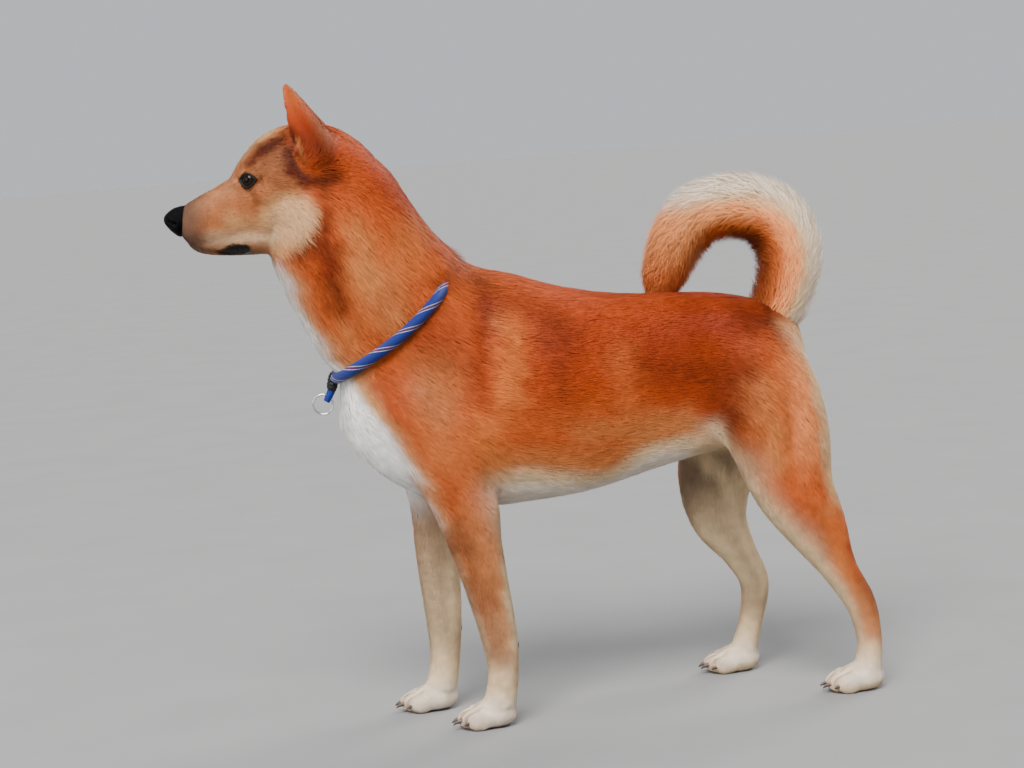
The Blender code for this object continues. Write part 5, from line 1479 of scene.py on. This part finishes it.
rim_finish = plain_finish("lid_leather", (0.0035, 0.0026, 0.0024), 900.0, 0.7, 1.4, 0.0002, Roughness=0.6)
glass = eye_finish()
for side in SIDES:
    middle, out, inner, up = eye_frame(side)
    ball = outward(new_mesh(f"eyeball_{side}", *eyeball(side)))
    ball_points = mesh_points(ball.data)
    apart = unit(ball_points - middle)
    look = np.arccos(np.clip(apart @ out, -1, 1))
    measured(ball.data, "look", np.stack([look, apart @ inner, apart @ up], 1))
    kept(ball, glass)
    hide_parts(f"eye_{side}")
    kept(new_mesh(f"lid_rim_{side}", *lid_rim(side)), rim_finish)


# ---- Nose -------------------------------------------------------------------------------
# Pebbled black leather at the muzzle's end, with two comma-shaped nostrils and a furrow between.

# Distance ahead, height of the top and of the underside, and half-width, in the head's frame.
NOSE_ROWS = [
    (0.2200, 0.6400, 0.6200, 0.0120), (0.2250, 0.6440, 0.6150, 0.0152), (0.2300, 0.6445, 0.6100, 0.0166),
    (0.2350, 0.6440, 0.6080, 0.0170), (0.2400, 0.6432, 0.6085, 0.0166), (0.2450, 0.6412, 0.6125, 0.0152),
    (0.2500, 0.6380, 0.6175, 0.0125), (0.2535, 0.6345, 0.6225, 0.0085), (0.2550, 0.6305, 0.6268, 0.0032),
]
NOSTRIL = [(0.2515, 0.0066, 0.6295), (0.2470, 0.0110, 0.6265), (0.2410, 0.0160, 0.6235)]


def nose_shape(rows=90, ring=128):
    """Sections |x/half|^2.3 + |z/tall|^2.3 = 1 between the rows, then pits pressed into them."""
    table = np.asarray(NOSE_ROWS)
    t = np.linspace(0, len(table) - 1, rows)
    ahead, top, low, half = spline(np.arange(len(table)), table, t).T
    b = np.linspace(0, 2 * np.pi, ring, endpoint=False)
    flat = 2 / 2.3
    rise = np.sign(np.cos(b)) * np.abs(np.cos(b)) ** flat
    wide = np.sign(np.sin(b)) * np.abs(np.sin(b)) ** flat
    local = np.stack([ahead[:, None] + 0 * b, half[:, None] * wide,
                      (top + low)[:, None] / 2 + (top - low)[:, None] / 2 * rise], -1).reshape(-1, 3)
    faces = grid_faces(rows, ring)
    normals = point_normals(local, faces)
    normals *= np.sign(((local - local.mean(0)) * normals).sum(1).mean())
    push = np.zeros(len(local))
    for sign in SIDES.values():
        pit = [(p[0], sign * p[1], p[2]) for p in NOSTRIL]
        first, _ = segment_distance(local, pit[0], pit[1])
        second, _ = segment_distance(local, pit[1], pit[2])
        push -= 0.0050 * np.exp(-(first / 0.0027) ** 2)
        push -= 0.0024 * np.exp(-(second / 0.0013) ** 2)
        push += 0.0009 * np.exp(-((np.minimum(first, second) - 0.0042) / 0.0016) ** 2)
    furrow, _ = segment_distance(local, (0.2560, 0, 0.6290), (0.2380, 0, 0.6060))
    push -= 0.0014 * np.exp(-(furrow / 0.0010) ** 2)
    local = local + np.minimum(push, 0.001)[:, None] * normals
    return capped(on_head(local), ring)


def pebbled():
    """Black leather raised in small cells."""
    made, tree, shader, place, _ = varied("nose_leather", (0.0012, 0.0012, 0.0016), 300.0, 0.7, 1.4,
                                          Roughness=0.46, Specular_IOR_Level=0.04)
    pebbles = node(tree, "ShaderNodeTexVoronoi", in_2=1100.0)
    tree.links.new(place, pebbles.inputs["Vector"])
    bumped(tree, shader, pebbles.outputs["Distance"], 0.0005, 0.8).invert = True
    return made


nose_finish = pebbled()
nose = outward(new_mesh("nose_pad", *nose_shape()))
kept(nose, nose_finish)
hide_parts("nose")


# ---- Lip edges --------------------------------------------------------------------------
# Bare black skin along the upper lip, opening into a soft wedge at the corner of the mouth.

def skin_side(ahead, height, sign):
    """Places on one side of the head: nearby points of the skin averaged by a bell of 2 mm."""
    local = in_head(skin_points)
    near = (sign * local[:, 1] > 0.006) & (local[:, 0] > 0.13) & (local[:, 2] < 0.64)
    local = local[near]
    apart = (local[None, :, 0] - ahead[:, None]) ** 2 + (local[None, :, 2] - height[:, None]) ** 2
    weight = np.exp(-apart / 0.002**2) + 1e-12
    across = (weight * local[None, :, 1]).sum(1) / weight.sum(1)
    return on_head(np.stack([ahead, across, height], 1))


def lip_shape(sign, rows=110, turns=24):
    """A flat oval tube along the lip's line, standing where the side of the head stands.

    Its edges are read off the skin at the line's height plus and minus the row's half-height.
    """
    table = np.asarray(LIP_LINE)
    t = np.linspace(3, len(table) - 1, rows)
    ahead, height, tall = spline(np.arange(len(table)), table, t).T
    tall = np.maximum(tall, 0.0004)
    rise = np.sin(np.linspace(0, 2 * np.pi, turns, endpoint=False))
    bulge = np.cos(np.linspace(0, 2 * np.pi, turns, endpoint=False))
    places = np.stack([skin_side(ahead, height + tall * up, sign) for up in rise], 1)
    out = unit(0.9 * sign * HEAD_RIGHT - 0.3 * HEAD_UP)
    thick = np.minimum(0.0010, 1.2 * tall)[:, None, None]
    points = places + thick * (0.35 + bulge[None, :, None]) * out
    return capped(points.reshape(-1, 3), turns)


lip_finish = plain_finish("lip_leather", (0.0030, 0.0022, 0.0020), 800.0, 0.7, 1.4, 0.0002, Roughness=0.6)
for side, sign in SIDES.items():
    kept(outward(new_mesh(f"lip_edge_{side}", *lip_shape(sign))), lip_finish)


# ---- Claws ------------------------------------------------------------------------------
# Horn claws, four to a foot, dark and curved, each a tapering tube from its toe to the ground.

CLAW_RADIUS = 0.0036


def claw_shape(low, high, rows=14, ring=16):
    """A tube along a quarter bow from inside the toe to the box's lower front, tapering as a root."""
    t = np.linspace(0, 1, rows)[:, None]
    start = np.array([high[0] + 0.006, (low[1] + high[1]) / 2, high[2] - CLAW_RADIUS])
    end = np.array([low[0] + 0.0006, (low[1] + high[1]) / 2, low[2] + 0.0008])
    bow = np.array([end[0] + 0.0035, start[1], start[2]])
    path = (1 - t) ** 2 * start + 2 * t * (1 - t) * bow + t**2 * end
    ahead = unit(np.gradient(path, axis=0))
    side = np.array([0.0, 1.0, 0.0])
    up = np.cross(side, ahead)
    size = CLAW_RADIUS * np.sqrt(np.clip(1.02 - t, 0, 1)) * (1 - 0.25 * t)
    b = np.linspace(0, 2 * np.pi, ring, endpoint=False)[None, :, None]
    points = path[:, None] + size[:, None] * (0.82 * np.sin(b) * side + np.cos(b) * up[:, None])
    return capped(points.reshape(-1, 3), ring)


horn_finish = plain_finish("claw_horn", (0.065, 0.045, 0.034), 420.0, 0.55, 1.7, 0.0003, 0.5,
                           Roughness=0.42, Specular_IOR_Level=0.5)
for kind in ("fore", "hind"):
    for side in SIDES:
        for number in range(1, 5):
            toe = f"{kind}_{side}_{number}"
            claw = outward(new_mesh(f"horn_{toe}", *claw_shape(*map(np.array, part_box(f"claw_{toe}")))))
            kept(claw, horn_finish)
            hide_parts(f"claw_{toe}")


# ---- Stopper pads -----------------------------------------------------------------------
# One small pad of black leather behind each wrist, clear of the ground.

for side in SIDES:
    wrist = FORE_JOINTS[side][4]
    on_skin, normal = laid((wrist + [0.040, 0, -0.012])[None])
    shape = ovoid(on_skin[0] - 0.0016 * normal[0], (0.0042, 0.0052, 0.0070))
    kept(outward(new_mesh(f"stopper_pad_{side}", *shape)), nose_finish)


# ---- Collar -----------------------------------------------------------------------------
# A round cord of woven nylon over a soft core, blue with thin spiral stripes of white and dark
# red, pulled close by a black stop that ends in a blue tab and a steel ring.

CORD_RADIUS, CORD_ROWS, CORD_RING = 0.0066, 240, 40
STRIPE_PITCH = 0.038
STRIPE_TURNS = 2                   # pitches that a stripe moves along in one turn round the cord


def cord_shape(line, radius, ring):
    """A tube round a closed line. The unwrap runs once round and along, in metres."""
    ahead = unit(np.roll(line, -1, 0) - np.roll(line, 1, 0))
    out = line - line.mean(0)
    out = unit(out - (out * ahead).sum(1, keepdims=True) * ahead)
    side = np.cross(ahead, out)
    b = np.linspace(0, 2 * np.pi, ring, endpoint=False)
    round_it = np.cos(b)[None, :, None] * out[:, None] + np.sin(b)[None, :, None] * side[:, None]
    points = line[:, None] + radius * round_it
    return points.reshape(-1, 3), grid_faces(len(line) + 1, ring) % (len(line) * ring)


def cord_unwrap(mesh, rows, ring, length):
    """Each corner's place: distance along the cord, and share of a turn round it."""
    corner = mesh_corners(mesh, 4)
    row, turn = corner // ring, corner % ring
    row = np.where((row.max(1, keepdims=True) == rows - 1) & (row == 0), rows, row)
    turn = np.where((turn.max(1, keepdims=True) == ring - 1) & (turn == 0), ring, turn)
    places = np.stack([row / rows * length, turn / ring], -1)
    mesh.uv_layers.new(name="weave").uv.foreach_set("vector", places.astype(np.float32).ravel())


def cord_finish():
    """Woven blue cord: spiral stripes where the turned length falls in narrow bands."""
    made, tree, shader = finish("woven_cord", Roughness=0.62, Specular_IOR_Level=0.30,
                                Sheen_Weight=0.05, Sheen_Roughness=0.5)
    unwrap = node(tree, "ShaderNodeUVMap", uv_map="weave")
    parts = node(tree, "ShaderNodeSeparateXYZ")
    tree.links.new(unwrap.outputs[0], parts.inputs[0])
    slant = node(tree, "ShaderNodeMath", operation="MULTIPLY_ADD", in_1=-STRIPE_TURNS * STRIPE_PITCH)
    tree.links.new(parts.outputs["Y"], slant.inputs[0])
    tree.links.new(parts.outputs["X"], slant.inputs[2])
    phase = node(tree, "ShaderNodeMath", operation="DIVIDE", in_1=STRIPE_PITCH)
    tree.links.new(slant.outputs[0], phase.inputs[0])
    share = node(tree, "ShaderNodeMath", operation="FRACT")
    tree.links.new(phase.outputs[0], share.inputs[0])
    blue, white, red = (0.004, 0.018, 0.17), (0.50, 0.50, 0.55), (0.11, 0.010, 0.022)
    stripes = banded(tree, share.outputs[0], [
        (0.0, blue), (0.38, white), (0.415, blue), (0.46, red), (0.54, blue), (0.58, white),
        (0.615, blue)], "CONSTANT")
    weave = node(tree, "ShaderNodeTexWave", wave_type="BANDS", bands_direction="DIAGONAL", in_1=1.0)
    scaled = node(tree, "ShaderNodeVectorMath", operation="MULTIPLY")
    scaled.inputs[1].default_value = (420.0, 16.0, 1.0)
    tree.links.new(unwrap.outputs[0], scaled.inputs[0])
    tree.links.new(scaled.outputs[0], weave.inputs["Vector"])
    shade = node(tree, "ShaderNodeMapRange", in_3=0.62, in_4=1.2)
    tree.links.new(weave.outputs["Fac"], shade.inputs["Value"])
    woven = multiplied(tree, stripes, shade.outputs["Result"])
    tree.links.new(woven, shader.inputs["Base Color"])
    bumped(tree, shader, weave.outputs["Fac"], 0.0005, 0.7)
    return made


cord_line = collar_middle(CORD_ROWS)
cord = new_mesh("collar_cord", *cord_shape(cord_line, CORD_RADIUS, CORD_RING))
cord_length = np.linalg.norm(np.diff(cord_line, axis=0, append=cord_line[:1]), axis=1).sum()
cord_unwrap(cord.data, CORD_ROWS, CORD_RING, round(cord_length / STRIPE_PITCH) * STRIPE_PITCH)
kept(cord, cord_finish())
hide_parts("collar")


# ---- Collar stop, tab and ring ----------------------------------------------------------
# A moulded black stop grips the cord's two ends below the throat. The ends run on as one blue
# tab, folded round a plain ring of steel wire.

RING_CENTRE = placed([(-0.2465, 0.0, 0.3965)])[0]
RING_RADIUS, RING_WIRE = 0.0118, 0.0013


def ribbed_tube(path, girth, ribs, height, rows=70, ring=40):
    """An oval tube whose reach is swelled by height times the cosine of ribs turns along it."""
    t = np.linspace(0, len(path) - 1, rows)
    centre, _, side, up = path_frames(path, t)
    wide, tall = spline([g[0] for g in girth], [g[1:3] for g in girth], t).T
    swell = height * (0.5 + 0.5 * np.cos(2 * np.pi * ribs * t / t[-1]))
    b = np.linspace(0, 2 * np.pi, ring, endpoint=False)[None, :, None]
    points = (centre[:, None] + (wide + swell)[:, None, None] * np.sin(b) * side[:, None]
              + (tall + swell)[:, None, None] * np.cos(b) * up[:, None])
    return capped(points.reshape(-1, 3), ring)


stop_path = placed([(-0.2298, 0, 0.4322), (-0.2330, 0, 0.4220), (-0.2348, 0, 0.4122)])
stop = outward(new_mesh("cord_stop", *ribbed_tube(
    stop_path, [(0, 0.0066, 0.0052), (0.3, 0.0082, 0.0060), (1, 0.0086, 0.0062), (1.7, 0.0080, 0.0058),
                (2, 0.0060, 0.0046)], 5, 0.0005)))
stop_finish = plain_finish("moulded_black", (0.008, 0.008, 0.010), 700.0, 0.7, 1.4, 0.0002, Roughness=0.42)
kept(stop, stop_finish)
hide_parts("collar_stop")
tab_path = placed([(-0.2347, 0, 0.4130), (-0.2384, 0, 0.4062), (-0.2422, 0, 0.3996)])
tab = outward(new_mesh("cord_tab", *ribbed_tube(
    tab_path, [(0, 0.0056, 0.0046), (1, 0.0062, 0.0044), (2, 0.0052, 0.0036)], 7, 0.0003)))
tab_finish = plain_finish("woven_blue", (0.004, 0.018, 0.16), 900.0, 0.6, 1.5, 0.0004, Roughness=0.7)
kept(tab, tab_finish)
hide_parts("collar_tab")
turns = np.linspace(0, 2 * np.pi, 96, endpoint=False)[:, None]
loop = RING_CENTRE + RING_RADIUS * (np.cos(turns) * HEAD_AHEAD + np.sin(turns) * HEAD_UP)
ring = outward(new_mesh("wire_ring", *tube_on(loop, np.full(96, RING_WIRE))))
steel_finish = plain_finish("steel", (0.62, 0.62, 0.64), 500.0, 0.85, 1.1, 0.0001,
                            Roughness=0.24, Metallic=1.0)
kept(ring, steel_finish)
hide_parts("collar_ring")


# ---- Studio -----------------------------------------------------------------------------
# A plain pale floor under an even sky. One broad soft lamp is above the dog's left side, one
# behind it lights the edges of the coat, and a weak one is before its chest.

CAMERA_AZIMUTH, CAMERA_HEIGHT, CAMERA_ROLL = math.radians(-8), math.radians(6.5), math.radians(4.4)
CAMERA_REACH, CAMERA_LENS = 2.8, 81.7
CAMERA_TARGET = np.array([-0.0097, 0.0011, 0.400])
FLOOR_HALF = 40.0


def camera_axes():
    """Right, up and backward axes of the camera, turned about its own line by the roll."""
    across = np.array([math.cos(CAMERA_AZIMUTH), math.sin(CAMERA_AZIMUTH), 0.0])
    back = np.array([math.sin(CAMERA_AZIMUTH) * math.cos(CAMERA_HEIGHT),
                     -math.cos(CAMERA_AZIMUTH) * math.cos(CAMERA_HEIGHT), math.sin(CAMERA_HEIGHT)])
    above = np.cross(back, across)
    turn, swing = math.cos(CAMERA_ROLL), math.sin(CAMERA_ROLL)
    return across * turn - above * swing, above * turn + across * swing, back


def hung(name, kind, place, power, colour, **shape):
    """A lamp at a place, turned to the middle of the dog."""
    light = bpy.data.lights.new(name, kind)
    light.energy, light.color = power, colour
    for setting, value in shape.items():
        setattr(light, setting, value)
    lamp = bpy.data.objects.new(name, light)
    lamp.location = place
    lamp.rotation_euler = (Vector((0, 0, 0.35)) - Vector(place)).to_track_quat("-Z", "Y").to_euler()
    bpy.context.scene.collection.objects.link(lamp)


floor_corners = FLOOR_HALF * np.array([(-1, -1, 0), (1, -1, 0), (1, 1, 0), (-1, 1, 0)])
floor = new_mesh("floor", floor_corners, [[0, 1, 2, 3]])
floor.data.materials.append(varied("plain_floor", (0.232, 0.234, 0.237), 6.0, 0.97, 1.03,
                                   Roughness=0.9, Specular_IOR_Level=0.1)[0])

sky = bpy.data.worlds.new("sky")
sky.use_nodes = True
sky.node_tree.nodes["Background"].inputs["Color"].default_value = (0.86, 0.90, 0.96, 1)
sky.node_tree.nodes["Background"].inputs["Strength"].default_value = 0.70
bpy.context.scene.world = sky
hung("light_above", "SUN", (-0.9, -2.2, 3.2), 6.0, (1.0, 0.97, 0.93), angle=math.radians(32))
hung("light_behind", "SUN", (2.6, 1.7, 2.4), 2.8, (1.0, 0.96, 0.90), angle=math.radians(30))
hung("lamp_front", "AREA", (-2.4, -0.9, 1.3), 30, (0.96, 0.98, 1.0), size=1.6)

camera = bpy.data.objects.new("camera", bpy.data.cameras.new("camera"))
camera.data.lens, camera.data.sensor_width, camera.data.sensor_fit = CAMERA_LENS, 36.0, "HORIZONTAL"
camera.data.clip_end = 100.0
right, above, back = camera_axes()
place = CAMERA_TARGET + CAMERA_REACH * back
camera.matrix_world = Matrix([*np.column_stack([right, above, back, place]).tolist(), (0, 0, 0, 1)])
bpy.context.scene.collection.objects.link(camera)
bpy.context.scene.camera = camera
